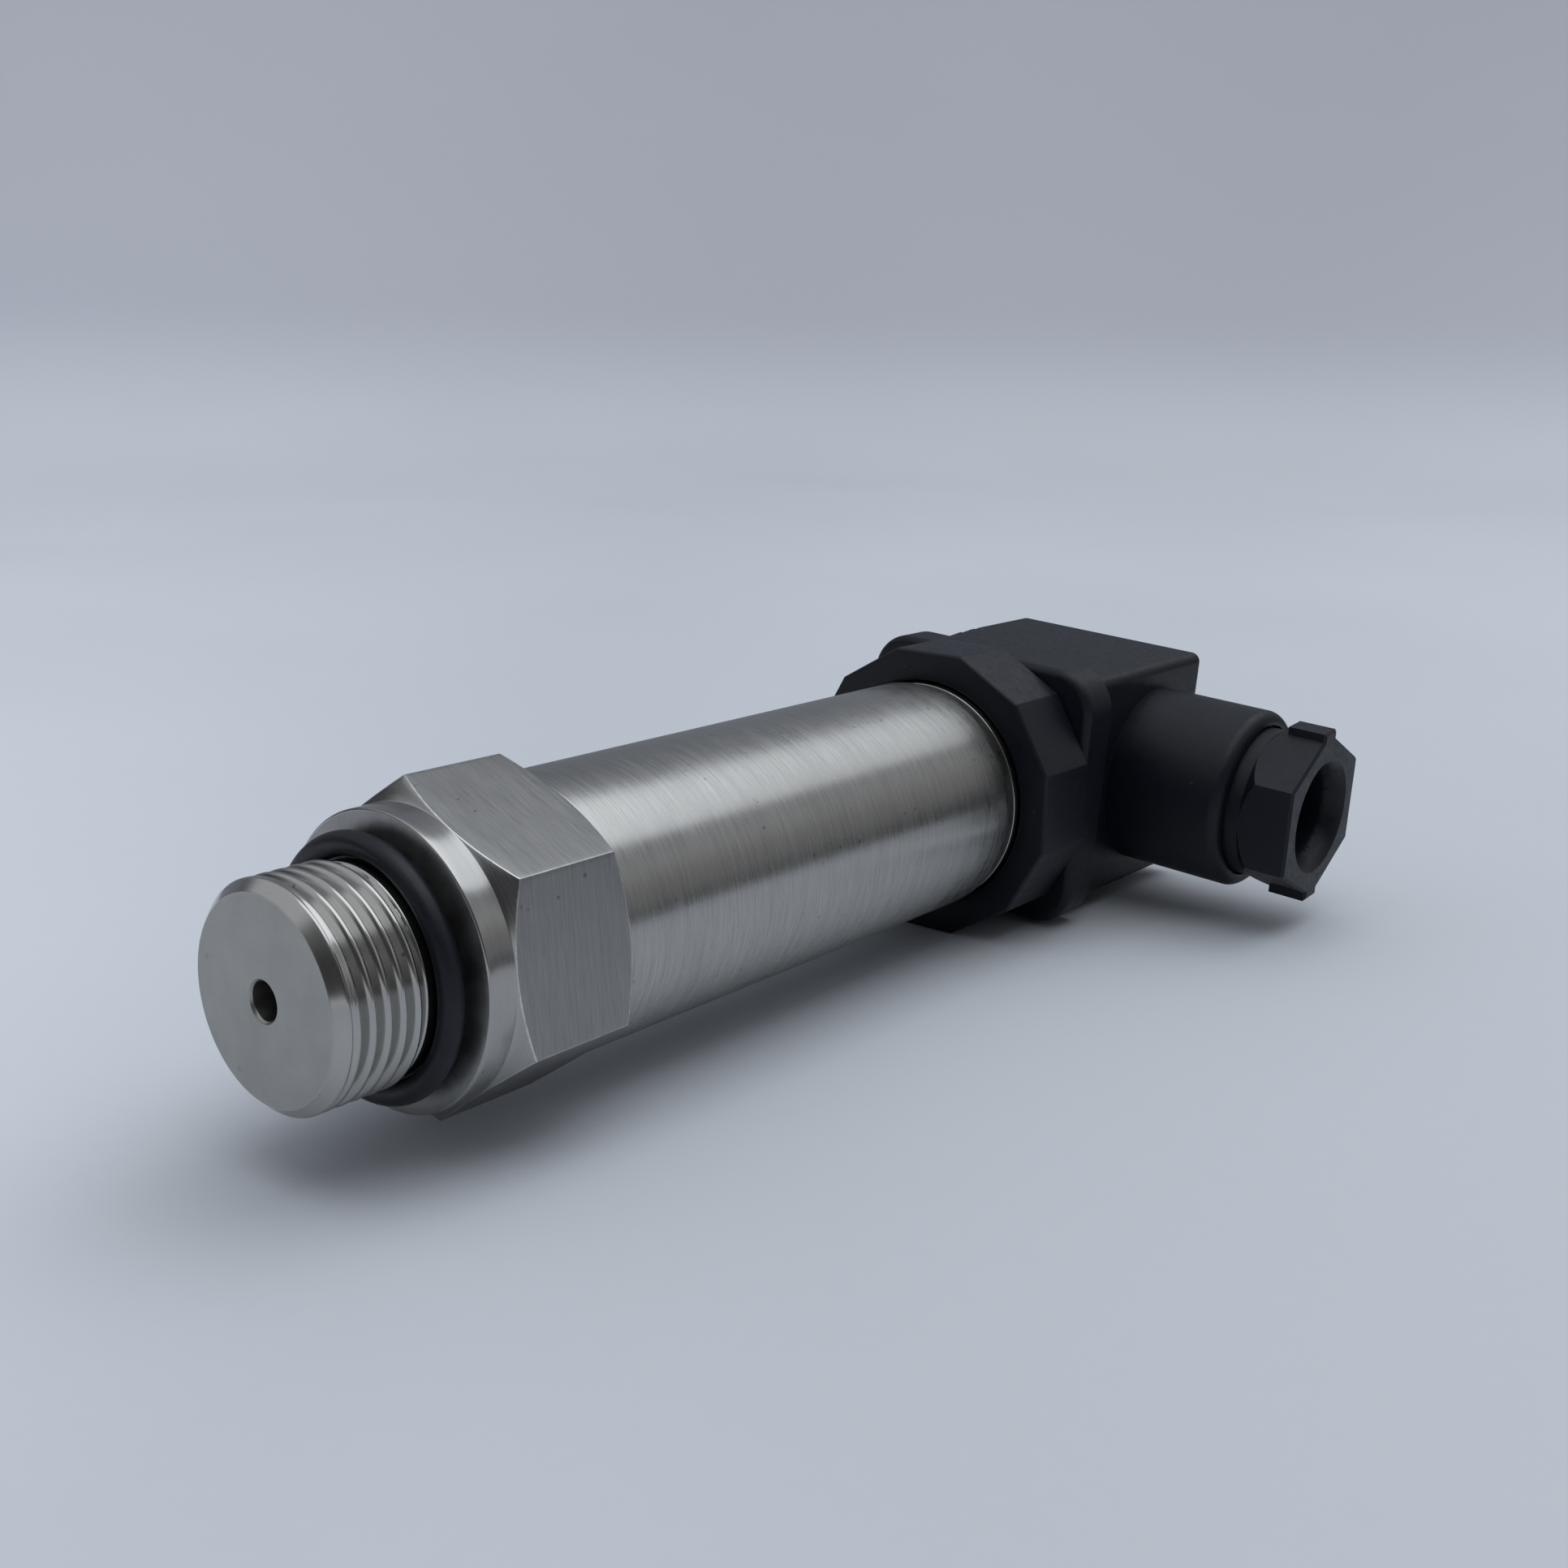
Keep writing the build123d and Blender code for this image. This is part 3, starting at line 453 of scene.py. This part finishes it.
def makeFacedSteel(s):
    material, tree, shader, coords = newMaterial(
        "facedSteel", 1.0, Anisotropic=s["stretch"], Anisotropic_Rotation=quarterTurn
    )
    split = node(tree, "ShaderNodeSeparateXYZ")
    put(tree, coords, split.inputs[0])
    squares = [math2(tree, "POWER", split.outputs[axis], 2.0) for axis in "XZ"]
    radius = math2(tree, "SQRT", math2(tree, "ADD", *squares))
    rings = node(
        tree, "ShaderNodeTexNoise", {"noise_dimensions": "1D"}, Scale=s["ringScale"], Detail=s["ringDetail"]
    )
    put(tree, radius, rings.inputs["W"])
    cloud = effect(tree, clouds, coords, Scale=s["cloudScale"], Fine=s["cloudFine"])
    pits = effect(tree, specks, coords, Scale=s["pitScale"], Size=s["pitSize"], Rarity=s["pitRarity"])["Mask"]
    edges = effect(tree, edgeMask, coords, Reach=s["edge"], Gain=s["gain"])["Mask"]
    tone = mixColour(tree, rangeOf(tree, cloud["Slow"], *s["cloudBand"]), s["tone"], s["dark"])
    # near edges the tone goes to a pale colour: edge wear, and a painted highlight along the edges
    wearAndHighlight = mixColour(tree, edges, tone, s["paleEdge"])
    pitted = mixColour(tree, math2(tree, "MULTIPLY", pits, s["pitStrength"]), wearAndHighlight, s["pit"])
    put(tree, pitted, shader.inputs["Base Color"])
    wander = blended(tree, rings.outputs["Fac"], s["ringShare"], cloud["Quick"])
    put(tree, rangeOf(tree, wander, *s["roughBand"], *s["rough"]), shader.inputs["Roughness"])
    bumped(tree, shader, wander, s["bump"], steelRelief)
    roundTangent(tree, shader)
    return material


# black plastic and rubber: satin, a little uneven, with pale dust and rubbed edges
darkLook = {
    "blackMoulding": dict(
        ior=1.36, tone=(0.0036, 0.0052, 0.0105), pale=(0.006, 0.0078, 0.0135), rough=(0.38, 0.52),
        grain=9000.0, bump=0.22, dust=0.25, rub=(0.05, 0.052, 0.055),
    ),
    "blackRubber": dict(
        ior=1.42, tone=(0.0035, 0.005, 0.0105), pale=(0.007, 0.009, 0.0145), rough=(0.36, 0.52),
        grain=5000.0, bump=0.12, dust=0.8, rub=(0.02, 0.02, 0.025),
    ),
}
# what the blacks share
darkShared = dict(
    cloudScale=150.0, cloudFine=8.0, cloudBand=(0.35, 0.7), roughBand=(0.3, 0.7), edge=0.0002, gain=3.0,
    rubStrength=0.5, dustScale=650.0, dustSize=0.10, dustRarity=0.9, dustStrength=0.45,
    dustColour=(0.45, 0.47, 0.5),
)
softRelief = 0.00003  # metres of bump at full height


def makeDark(name, s):
    material, tree, shader, coords = newMaterial(name, 0.0, ior=s["ior"])
    cloud = effect(tree, clouds, coords, Scale=s["cloudScale"], Fine=s["cloudFine"])
    grain = effect(tree, mouldGrain, coords, Scale=s["grain"])["Height"]
    spots = effect(tree, specks, coords, Scale=s["dustScale"], Size=s["dustSize"], Rarity=s["dustRarity"])
    edges = effect(tree, edgeMask, coords, Reach=s["edge"], Gain=s["gain"])["Mask"]
    tone = mixColour(tree, rangeOf(tree, cloud["Slow"], *s["cloudBand"]), s["tone"], s["pale"])
    paleEdge = mixColour(tree, math2(tree, "MULTIPLY", edges, s["rubStrength"]), tone, s["rub"])
    dust = math2(tree, "MULTIPLY", spots["Mask"], s["dust"] * s["dustStrength"])
    put(tree, mixColour(tree, dust, paleEdge, s["dustColour"]), shader.inputs["Base Color"])
    put(tree, rangeOf(tree, cloud["Quick"], *s["roughBand"], *s["rough"]), shader.inputs["Roughness"])
    bumped(tree, shader, grain, s["bump"], softRelief)
    return material


# what the inner parts share
plainShared = dict(cloudFine=6.0, band=(0.3, 0.7), edge=0.00012, gain=4.0, rubStrength=0.5)


# plain inner parts: one colour that drifts to another, with its own roughness and a light bump
def makePlain(name, tone, other, metallic, rough, scale=400.0, bump=0.08):
    s = plainShared
    material, tree, shader, coords = newMaterial(name, metallic)
    cloud = effect(tree, clouds, coords, Scale=scale, Fine=s["cloudFine"])
    edges = effect(tree, edgeMask, coords, Reach=s["edge"], Gain=s["gain"])["Mask"]
    mixed = mixColour(tree, rangeOf(tree, cloud["Slow"], *s["band"]), tone, other)
    lighter = tuple(min(1.0, c * 1.25 + 0.03) for c in tone)  # rubbed edges are a little paler
    paleEdge = mixColour(tree, math2(tree, "MULTIPLY", edges, s["rubStrength"]), mixed, lighter)
    put(tree, paleEdge, shader.inputs["Base Color"])
    put(tree, rangeOf(tree, cloud["Quick"], *s["band"], *rough), shader.inputs["Roughness"])
    bumped(tree, shader, cloud["Quick"], bump, softRelief)
    return material


# by the record's slot: material name, colour, the colour it drifts to, metallic, roughness, and where
# they aren't the usual ones the clouds' scale and the bump
plainLook = {
    "gold_pins": ("goldPins", (0.80, 0.58, 0.25), (0.70, 0.48, 0.20), 1.0, (0.15, 0.28)),
    "green_board": ("greenBoard", (0.02, 0.12, 0.06), (0.03, 0.17, 0.08), 0.0, (0.25, 0.4), 900.0),
    "black_component": ("blackComponent", (0.02, 0.02, 0.022), (0.035, 0.035, 0.04), 0.0, (0.45, 0.6)),
    "blue_trimmer": ("blueTrimmer", (0.02, 0.08, 0.32), (0.03, 0.11, 0.38), 0.0, (0.3, 0.45)),
    "capacitor_can": ("capacitorCan", (0.72, 0.72, 0.72), (0.6, 0.6, 0.6), 1.0, (0.2, 0.35)),
    "wire_sleeve": ("wireSleeve", (0.35, 0.02, 0.015), (0.42, 0.03, 0.02), 0.0, (0.35, 0.5)),
    "white_carrier": ("whiteCarrier", (0.66, 0.64, 0.58), (0.60, 0.58, 0.52), 0.0, (0.4, 0.55)),
    "tinned_contact": (
        "tinnedContact", (0.66, 0.64, 0.59), (0.61, 0.585, 0.53), 1.0, (0.27, 0.34), 220.0, 0.04,
    ),
    "brass_part": ("brassPart", (0.62, 0.42, 0.16), (0.52, 0.34, 0.12), 1.0, (0.2, 0.34)),
    "zinc_screw": ("zincScrew", (0.62, 0.63, 0.66), (0.5, 0.52, 0.56), 1.0, (0.24, 0.4)),
}
steel = {key: makeSteel(key + "Steel", {**steelShared, **look}) for key, look in steelLook.items()}
facedSteel = makeFacedSteel(facedLook)
dark = {key: makeDark(key, {**darkShared, **look}) for key, look in darkLook.items()}
finishes = {key: makePlain(*look) for key, look in plainLook.items()}
finishes["cell_steel"] = steel["cell"]
finishes["brushed_steel_fitting"] = steel["hex"]
finishes["brushed_steel_tube"] = steel["tube"]
finishes["black_moulding"] = dark["blackMoulding"]
finishes["black_rubber"] = dark["blackRubber"]
print("materials made:", len(bpy.data.materials))

for entry in frame["record"]["subparts"]:
    target = frame["nodes"][entry["node"]]
    finish = finishes[entry["material_slot"]]
    if not target.material_slots:
        target.data.materials.append(finish)
    for place in target.material_slots:
        place.material = finish


# process connection: threaded stub, neck, collar and hexagon
fitting = dict(
    threadRadius=10.0, threadDepth=0.92, pitch=1.5, crestHalf=0.20, flankAngle=30.0, turn=0.30,
    start=(1.1, 1.9), threadEnd=8.1, chamfer=1.0, neck=9.6, neckStart=9.7, neckRise=1.2,
    riseStart=8.0, riseLength=0.9, rootBlend=0.16, crestBlend=0.30, leadBlend=0.12, tailBlend=0.10,
    neckBlend=0.08, rowStep=0.06, lastRow=9.6, sealFace=12.1, collarRadius=13.45, collarBack=15.0,
    hexBack=28.3, hexFlat=13.5, hexRounding=0.16, cornerAngle=95.8, perSide=44,
    coneSlope=math.tan(math.radians(30)), spigotRadius=11.9, spigotBack=32.3, pocketRadius=9.6,
    pocketFloor=16.5, portRadius=1.7, portBreak=0.22, portSoft=0.05, faceSoft=0.22, collarSoft=0.03,
    hexSoft=0.09, spigotSoft=0.1,
)


# the lower of two heights, with a dip of a quarter of k where they meet
def smoothMin(a, b, k):
    return np.minimum(a, b) - np.maximum(k - np.abs(a - b), 0) ** 2 / (4 * k)


def smoothMax(a, b, k):
    return -smoothMin(-a, -b, k)


# thread: distance d from the crest along the axis, folded once a pitch and shifted by one pitch a turn.
# The groove's depth is (d - crest half width) / tan 30, blended into a flat crest and a round root, and
# fades in behind the lead chamfer. The tail cone cuts it off behind the last turn, and a smooth step
# from under the groove up to the neck's radius fills its run-out
def threadRadius(angles, stations, s):
    phase = (stations / s["pitch"] + angles / (2 * math.pi) + s["turn"]) % 1.0
    d = np.abs(phase - 0.5) * s["pitch"]
    flank = (d - s["crestHalf"]) / math.tan(math.radians(s["flankAngle"]))
    groove = smoothMin(flank, np.full_like(d, s["threadDepth"]), s["rootBlend"])
    groove = smoothMax(groove, np.zeros_like(d), s["crestBlend"])
    fade = np.clip((stations - s["start"][0]) / (s["start"][1] - s["start"][0]), 0, 1)
    body = s["threadRadius"] - groove * fade
    lead = s["threadRadius"] - s["chamfer"] + stations
    tail = s["threadRadius"] - (stations - s["threadEnd"])
    rise = np.clip((stations - s["riseStart"]) / s["riseLength"], 0, 1)
    relief = s["neck"] - s["neckRise"] * (1 - rise * rise * (3 - 2 * rise))
    turned = smoothMin(smoothMin(body, lead, s["leadBlend"]), tail, s["tailBlend"])
    return smoothMax(turned, relief, s["neckBlend"])


# one profile carried round the axis: out of the port, over the face, along the thread's own radius, then
# neck, collar, hexagon and back through the pocket. The hexagon's ends follow 30 degree cones: station
# is shifted by (radius - collar radius) tan 30
def makeFitting(s):
    hexShape = (6, s["cornerAngle"], s["hexRounding"], s["hexFlat"])
    angles = polygonAngles(*hexShape, s["perSide"])
    hexRadius = polygonRadius(angles, *hexShape)
    rise = (hexRadius - s["collarRadius"]) * s["coneSlope"]
    # the last slot, on the hexagon's rounded corners, is pale steel: a painted highlight along them, with edge
    # wear
    faced, thread, collar, hexagon, wearAndHighlight = range(5)
    frontRows, frontSlots = carriedRows(angles, [
        (s["portRadius"], s["pocketFloor"], 0, faced, 1),
        (s["portRadius"], s["portBreak"], s["portSoft"], faced, 1),
        (s["portRadius"] + s["portBreak"], 0.0, s["portSoft"], faced, 5),
        (s["threadRadius"] - s["chamfer"], 0.0, 0, faced, 1),
    ])
    stations = np.arange(s["rowStep"], s["lastRow"] + s["rowStep"] / 6, s["rowStep"])
    radii = threadRadius(angles[:, None], stations[None, :], s)
    threadRows = roundPoints(angles[:, None], radii, stations)
    backRows, backSlots = carriedRows(angles, [
        (s["neck"], s["neckStart"], 0, thread, 1),
        (s["neck"], s["sealFace"], s["faceSoft"], hexagon, 4),
        (s["collarRadius"], s["sealFace"], s["faceSoft"], collar, 3),
        (s["collarRadius"], s["collarBack"], s["collarSoft"], collar, 3),
        (hexRadius, s["collarBack"] + rise, s["hexSoft"], hexagon, 6, wearAndHighlight),
        (hexRadius, s["hexBack"] - rise, s["hexSoft"], hexagon, 3, wearAndHighlight),
        (s["collarRadius"], s["hexBack"], s["collarSoft"], hexagon, 1),
        (s["spigotRadius"], s["hexBack"], 0, hexagon, 1),
        (s["spigotRadius"], s["spigotBack"], s["spigotSoft"], hexagon, 1),
        (s["pocketRadius"], s["spigotBack"], s["spigotSoft"], hexagon, 1),
        (s["pocketRadius"], s["pocketFloor"], 0, hexagon, 1),
    ])
    points = np.concatenate([frontRows, threadRows, backRows], 1)
    slots = frontSlots + [thread] * len(stations) + backSlots
    materials = [facedSteel, steel["thread"], steel["collar"], steel["hex"], steel["wearAndHighlight"]]
    pieceFromGrid(
        "processFitting", points, slots, materials, "sensor_body", "process_fitting"
    )


makeFitting(fitting)

# seal ring on the neck
sealRing = dict(section=2.2, middle=10.85, station=10.2, around=180, sectionPoints=40)


# a circle carried round the axis: radius = middle + half the section cos, station likewise with sin
def makeSealRing(s):
    around = np.linspace(0, 2 * math.pi, s["around"], endpoint=False)
    section = np.linspace(0, 2 * math.pi, s["sectionPoints"], endpoint=False)
    radius = s["middle"] + s["section"] / 2 * np.cos(section)[None, :]
    station = s["station"] + s["section"] / 2 * np.sin(section)
    points = roundPoints(around[:, None], radius, station)
    slots = [0] * s["sectionPoints"]
    pieceFromGrid(
        "sealRing", points, slots, [dark["blackRubber"]], "sensor_body", "port_seal_ring"
    )


makeSealRing(sealRing)

# housing tube with a rounded back edge
tube = dict(
    front=28.3, back=89.9, radius=13.45, bore=11.95, frontBreak=0.12, frontSoft=0.04, endRadius=0.8,
    boreSoft=0.1, around=288,
)


# profile carried round the axis: bore, front end with a small break, barrel, rounded back edge
def makeTube(s):
    angles = np.linspace(0, 2 * math.pi, s["around"], endpoint=False)
    rows, slots = carriedRows(angles, [
        (s["bore"], s["back"], s["boreSoft"], 0, 1),
        (s["bore"], s["front"], 0, 0, 1),
        (s["radius"] - s["frontBreak"], s["front"], 0, 0, 1),
        (s["radius"], s["front"] + s["frontBreak"], s["frontSoft"], 0, 6),
        (s["radius"], s["back"], s["endRadius"], 0, 1),
    ])
    pieceFromGrid(
        "housingTube", rows, slots, [steel["tube"]], "sensor_body", "housing_tube"
    )


makeTube(tube)

# end piece behind the tube: a groove, then a bright land with a duller front face
endPiece = dict(
    front=82.0, tubeBack=89.9, spigot=11.9, groove=12.2, landFront=91.2, land=13.1, landBack=97.6,
    bore=8.0154, landBreak=0.5, frontSoft=0.12, soft=0.05, around=216,
)


# profile carried round the axis: bore, spigot inside the tube, groove, land with a broken back edge
def makeEndPiece(s):
    angles = np.linspace(0, 2 * math.pi, s["around"], endpoint=False)
    bright, dull = range(2)
    rows, slots = carriedRows(angles, [
        (s["bore"], s["front"], 0, bright, 1),
        (s["spigot"], s["front"], 0, bright, 1),
        (s["spigot"], s["tubeBack"], 0, bright, 1),
        (s["groove"], s["tubeBack"], 0, bright, 1),
        (s["groove"], s["landFront"], s["soft"], dull, 1),
        (s["land"], s["landFront"], s["frontSoft"], bright, 1),
        (s["land"], s["landBack"] - s["landBreak"], s["soft"], bright, 1),
        (s["land"] - s["landBreak"], s["landBack"], s["soft"], bright, 1),
        (s["bore"], s["landBack"], 0, bright, 1),
    ])
    materials = [steel["collar"], steel["hex"]]
    pieceFromGrid(
        "endPiece", rows, slots, materials, "sensor_body", "end_collar"
    )


makeEndPiece(endPiece)

# twelve-sided coupling nut
couplingNut = dict(
    front=91.8, back=101.2, flat=16.75, sides=12, cornerAngle=15.0, perSide=12, rounding=0.45,
    edge=0.25, soft=0.15, mouthSoft=0.12, boreSoft=0.1, bore=13.35, shoulder=99.6, hole=10.615,
)


# profile carried round the axis, with the polygon's radius for the outside: front, twelve flats, back,
# then the hole, the shoulder and the bore. The outer edges are bevelled by a smaller polygon
def makeCouplingNut(s):
    nutShape = (s["sides"], s["cornerAngle"], s["rounding"])
    angles = polygonAngles(*nutShape, s["flat"], s["perSide"])
    outer = polygonRadius(angles, *nutShape, s["flat"])
    inner = polygonRadius(angles, *nutShape, s["flat"] - s["edge"])
    rows, slots = carriedRows(angles, [
        (s["bore"] + s["edge"], s["front"], s["mouthSoft"], 0, 2),
        (inner, s["front"], s["soft"], 0, 1),
        (outer, s["front"] + s["edge"], s["soft"], 0, 4),
        (outer, s["back"] - s["edge"], s["soft"], 0, 1),
        (inner, s["back"], s["soft"], 0, 2),
        (s["hole"], s["back"], s["boreSoft"], 0, 1),
        (s["hole"], s["shoulder"], 0, 0, 1),
        (s["bore"], s["shoulder"], 0, 0, 1),
        (s["bore"], s["front"] + s["edge"], s["boreSoft"], 0, 1),
    ])
    materials = [dark["blackMoulding"]]
    pieceFromGrid(
        "couplingNut", rows, slots, materials, "coupling_nut_body", "coupling_nut"
    )


makeCouplingNut(couplingNut)

# moulded pieces: name, CAD node, body and how far their edges are softened
mouldings = [
    ("connectorBase", "connector_base", "sensor_body", 0.15),
    ("plugHousing", "connector_housing", "plug_body", 0.15),
    ("glandNut", "gland_nut", "gland_nut_body", 0.2),
]
for name, nodeName, body, soft in mouldings:
    mouldedCopy(name, nodeName, dark["blackMoulding"], body, soft)

# floor and backdrop in one; shape in millimetres, the reach of the painted light and the edge in metres
stageLook = dict(
    floor=-16.75, middle=60.0, reach=1500.0, curve=800.0, height=1100.0, around=96, flatRings=12, bendRings=16,
    # wall, left, right and far paint shade and light on the paper: darker up the wall and from one side to the
    # other, paler with distance
    tone=(0.735, 0.765, 0.82), wall=(0.571, 0.589, 0.657), rise=(-0.006, 0.075),
    across=(0.774, 0.633, 0.0), turnOffset=0.1, left=(-0.5, 0.1, 1.04, 0.80), right=(0.1, 0.35, 1.0, 0.94),
    far=(0.1, 0.5, 1.12, 1.2), rough=(0.55, 0.7), edge=(0.26, 0.30), cloudScale=9.0, cloudFine=40.0,
    cloudBand=(0.3, 0.7), fleck=0.92, fleckStrength=0.12,
)


# a flat disc, then a quarter circle, then a straight wall, all turned round Z
def stageMesh(s):
    around = np.linspace(0, 2 * math.pi, s["around"], endpoint=False)
    disc = s["reach"] - s["curve"]
    flat = np.linspace(0.0, 1.0, s["flatRings"]) ** 1.5 * disc
    bend = np.linspace(0, math.pi / 2, s["bendRings"])[1:]
    radius = np.concatenate([flat, disc + s["curve"] * np.sin(bend), [s["reach"]]])
    height = np.concatenate([flat * 0, s["curve"] * (1 - np.cos(bend)), [s["height"]]]) + s["floor"]
    points = roundPoints(around[:, None], radius[None, :], height)
    points[..., 1] += s["middle"]
    mesh = bpy.data.meshes.new("seamlessFloor")
    faces = gridFaces(s["around"], len(height), False)
    mesh.from_pydata((points.reshape(-1, 3) * mm).tolist(), [], faces.tolist())
    work = bmesh.new()
    work.from_mesh(mesh)
    bmesh.ops.remove_doubles(work, verts=work.verts, dist=1e-7)
    work.to_mesh(mesh)
    work.free()
    mesh.shade_smooth()
    return mesh


# pale paper with painted shade and light: it darkens up the wall, and from side to side by side / (distance +
# turnOffset), and grows paler with distance. Beyond the edge only the camera sees it, so that the object's
# light and mirror images come from the room
def makePaper(s):
    material, tree, shader, coords = newMaterial("seamlessPaper", 0.0)
    cloud = effect(tree, clouds, coords, Scale=s["cloudScale"], Fine=s["cloudFine"])
    shade = tuple(c * s["fleck"] for c in s["tone"])
    flecks = rangeOf(tree, cloud["Quick"], *s["cloudBand"], toHigh=s["fleckStrength"])
    tone = mixColour(tree, flecks, s["tone"], shade)
    split = node(tree, "ShaderNodeSeparateXYZ")
    put(tree, coords, split.inputs[0])
    wall = mixColour(tree, rangeOf(tree, split.outputs["Z"], *s["rise"], smooth=True), tone, s["wall"])
    distance = node(tree, "ShaderNodeVectorMath", {"operation": "LENGTH"})
    put(tree, coords, distance.inputs[0])
    reach = distance.outputs["Value"]
    side = node(tree, "ShaderNodeVectorMath", {"operation": "DOT_PRODUCT"})
    put(tree, coords, side.inputs[0])
    side.inputs[1].default_value = s["across"]
    turn = math2(tree, "DIVIDE", side.outputs["Value"], math2(tree, "ADD", reach, s["turnOffset"]))
    # painted light and shade multiplied into the paper's colour: darker from one side to the other, paler with
    # distance
    left = rangeOf(tree, turn, *s["left"], smooth=True)
    right = rangeOf(tree, turn, *s["right"], smooth=True)
    far = rangeOf(tree, reach, *s["far"])
    light = math2(tree, "MULTIPLY", math2(tree, "MULTIPLY", left, right), far)
    put(tree, mixColour(tree, 1.0, wall, light, "MULTIPLY"), shader.inputs["Base Color"])
    put(tree, rangeOf(tree, cloud["Slow"], *s["cloudBand"], *s["rough"]), shader.inputs["Roughness"])
    beyond = rangeOf(tree, reach, *s["edge"], smooth=True)
    cameraRay = tree.nodes.new("ShaderNodeLightPath").outputs["Is Camera Ray"]
    mix = tree.nodes.new("ShaderNodeMixShader")
    put(tree, math2(tree, "MULTIPLY", beyond, math2(tree, "SUBTRACT", 1.0, cameraRay)), mix.inputs[0])
    put(tree, shader.outputs[0], mix.inputs[1])
    put(tree, tree.nodes.new("ShaderNodeBsdfTransparent").outputs[0], mix.inputs[2])
    put(tree, mix.outputs[0], tree.nodes["Material Output"].inputs["Surface"])
    return material


def makeStage(s):
    mesh = stageMesh(s)
    mesh.materials.append(makePaper(s))
    floor = bpy.data.objects.new("seamlessFloor", mesh)
    scene.collection.objects.link(floor)
    print("made seamlessFloor")


makeStage(stageLook)

# soft boxes that face down: place and size in metres, power in watts
lamps = [
    dict(
        name="ceilingPanel", place=(0.125, 0.175, 0.5), size=(0.47, 0.89), power=1.38,
        colour=(0.90, 0.96, 1.0), mirrored=True,
    ),
    dict(
        name="farPanel", place=(0.10, 0.85, 0.5), size=(0.45, 0.46), power=0.38,
        colour=(0.90, 0.96, 1.0), mirrored=True,
    ),
    dict(
        name="wideFill", place=(-0.22, 0.90, 0.8), size=(2.1, 1.2), power=3.5,
        colour=(0.92, 0.96, 1.0), mirrored=False,
    ),
]


def makeLamp(s):
    data = bpy.data.lights.new(s["name"], "AREA")
    data.shape = "RECTANGLE"
    data.size, data.size_y = s["size"]
    data.energy = s["power"]
    data.color = s["colour"]
    lamp = bpy.data.objects.new(s["name"], data)
    scene.collection.objects.link(lamp)
    lamp.visible_camera = False
    lamp.visible_glossy = s["mirrored"]
    lamp.location = s["place"]


for lamp in lamps:
    makeLamp(lamp)
print("lamps made:", len(lamps))

# the room by direction: its colours, and the band of x, y or z over which each takes over
worldLook = dict(
    under=(0.10, 0.105, 0.115), low=(0.25, 0.255, 0.265), middle=(0.46, 0.47, 0.485),
    high=(0.335, 0.35, 0.385), zenith=(0.58, 0.61, 0.65), front=(0.06, 0.062, 0.067),
    frontHigh=(0.17, 0.175, 0.18), table=(0.73, 0.75, 0.775), paper=(0.215, 0.235, 0.27),
)
worldBands = dict(
    low=(-0.02, 0.12), middle=(0.20, 0.5), rightSide=(0.1, 0.35), high=(0.42, 0.6), paper=(0.45, 1.0),
    frontHigh=(0.45, 0.7), leftHigh=(0.3, 0.5), leftSide=(0.1, -0.15), table=(-0.06, 0.06),
    front=(0.1, -0.3), zenith=(0.79, 0.87),
)


# dark below the far edge of the table, dim behind, the table's paper and a dim room on the camera's
# side, and a pale ceiling
def makeWorld(s, bands):
    world = bpy.data.worlds.new("softRoom")
    world.use_nodes = True
    scene.world = world
    tree = world.node_tree
    split = node(tree, "ShaderNodeSeparateXYZ")
    put(tree, tree.nodes.new("ShaderNodeTexCoord").outputs["Generated"], split.inputs[0])
    x, y, z = (split.outputs[axis] for axis in "XYZ")

    def band(value, name):
        return rangeOf(tree, value, *bands[name], smooth=True)

    room = mixColour(tree, band(z, "low"), s["under"], s["low"])
    right = math2(tree, "MULTIPLY", band(z, "middle"), band(x, "rightSide"))
    high = mixColour(tree, band(z, "high"), mixColour(tree, right, room, s["middle"]), s["high"])
    toPaper = math2(tree, "SUBTRACT", math2(tree, "MULTIPLY", y, 0.5), x)
    behind = mixColour(tree, band(toPaper, "paper"), high, s["paper"])
    above = mixColour(tree, band(z, "frontHigh"), s["front"], s["frontHigh"])
    left = math2(tree, "MULTIPLY", band(z, "leftHigh"), band(x, "leftSide"))
    facing = mixColour(tree, band(z, "table"), s["table"], mixColour(tree, left, above, s["zenith"]))
    around = mixColour(tree, band(y, "front"), behind, facing)
    sky = mixColour(tree, band(z, "zenith"), around, s["zenith"])
    put(tree, sky, tree.nodes["Background"].inputs["Color"])


makeWorld(worldLook, worldBands)

# the photograph's viewpoint: place in metres, and the camera's own axes
cameraLook = dict(
    place=(0.11628435, -0.077647, 0.05200505),
    right=(0.77411558, 0.63288264, 0.01430507),
    up=(-0.16451267, 0.17930139, 0.96994154),
    back=(0.61129425, -0.75320022, 0.24291721),
    lens=40.89, sensor=36.0, clip=(0.005, 20.0),
)


def makeCamera(s):
    data = bpy.data.cameras.new("photoCamera")
    data.lens = s["lens"]
    data.sensor_width = s["sensor"]
    data.clip_start, data.clip_end = s["clip"]
    camera = bpy.data.objects.new("photoCamera", data)
    scene.collection.objects.link(camera)
    columns = [(*s[key], 0) for key in ("right", "up", "back")] + [(*s["place"], 1)]
    camera.matrix_world = Matrix(columns).transposed()
    scene.camera = camera


makeCamera(cameraLook)

print("scene ready")
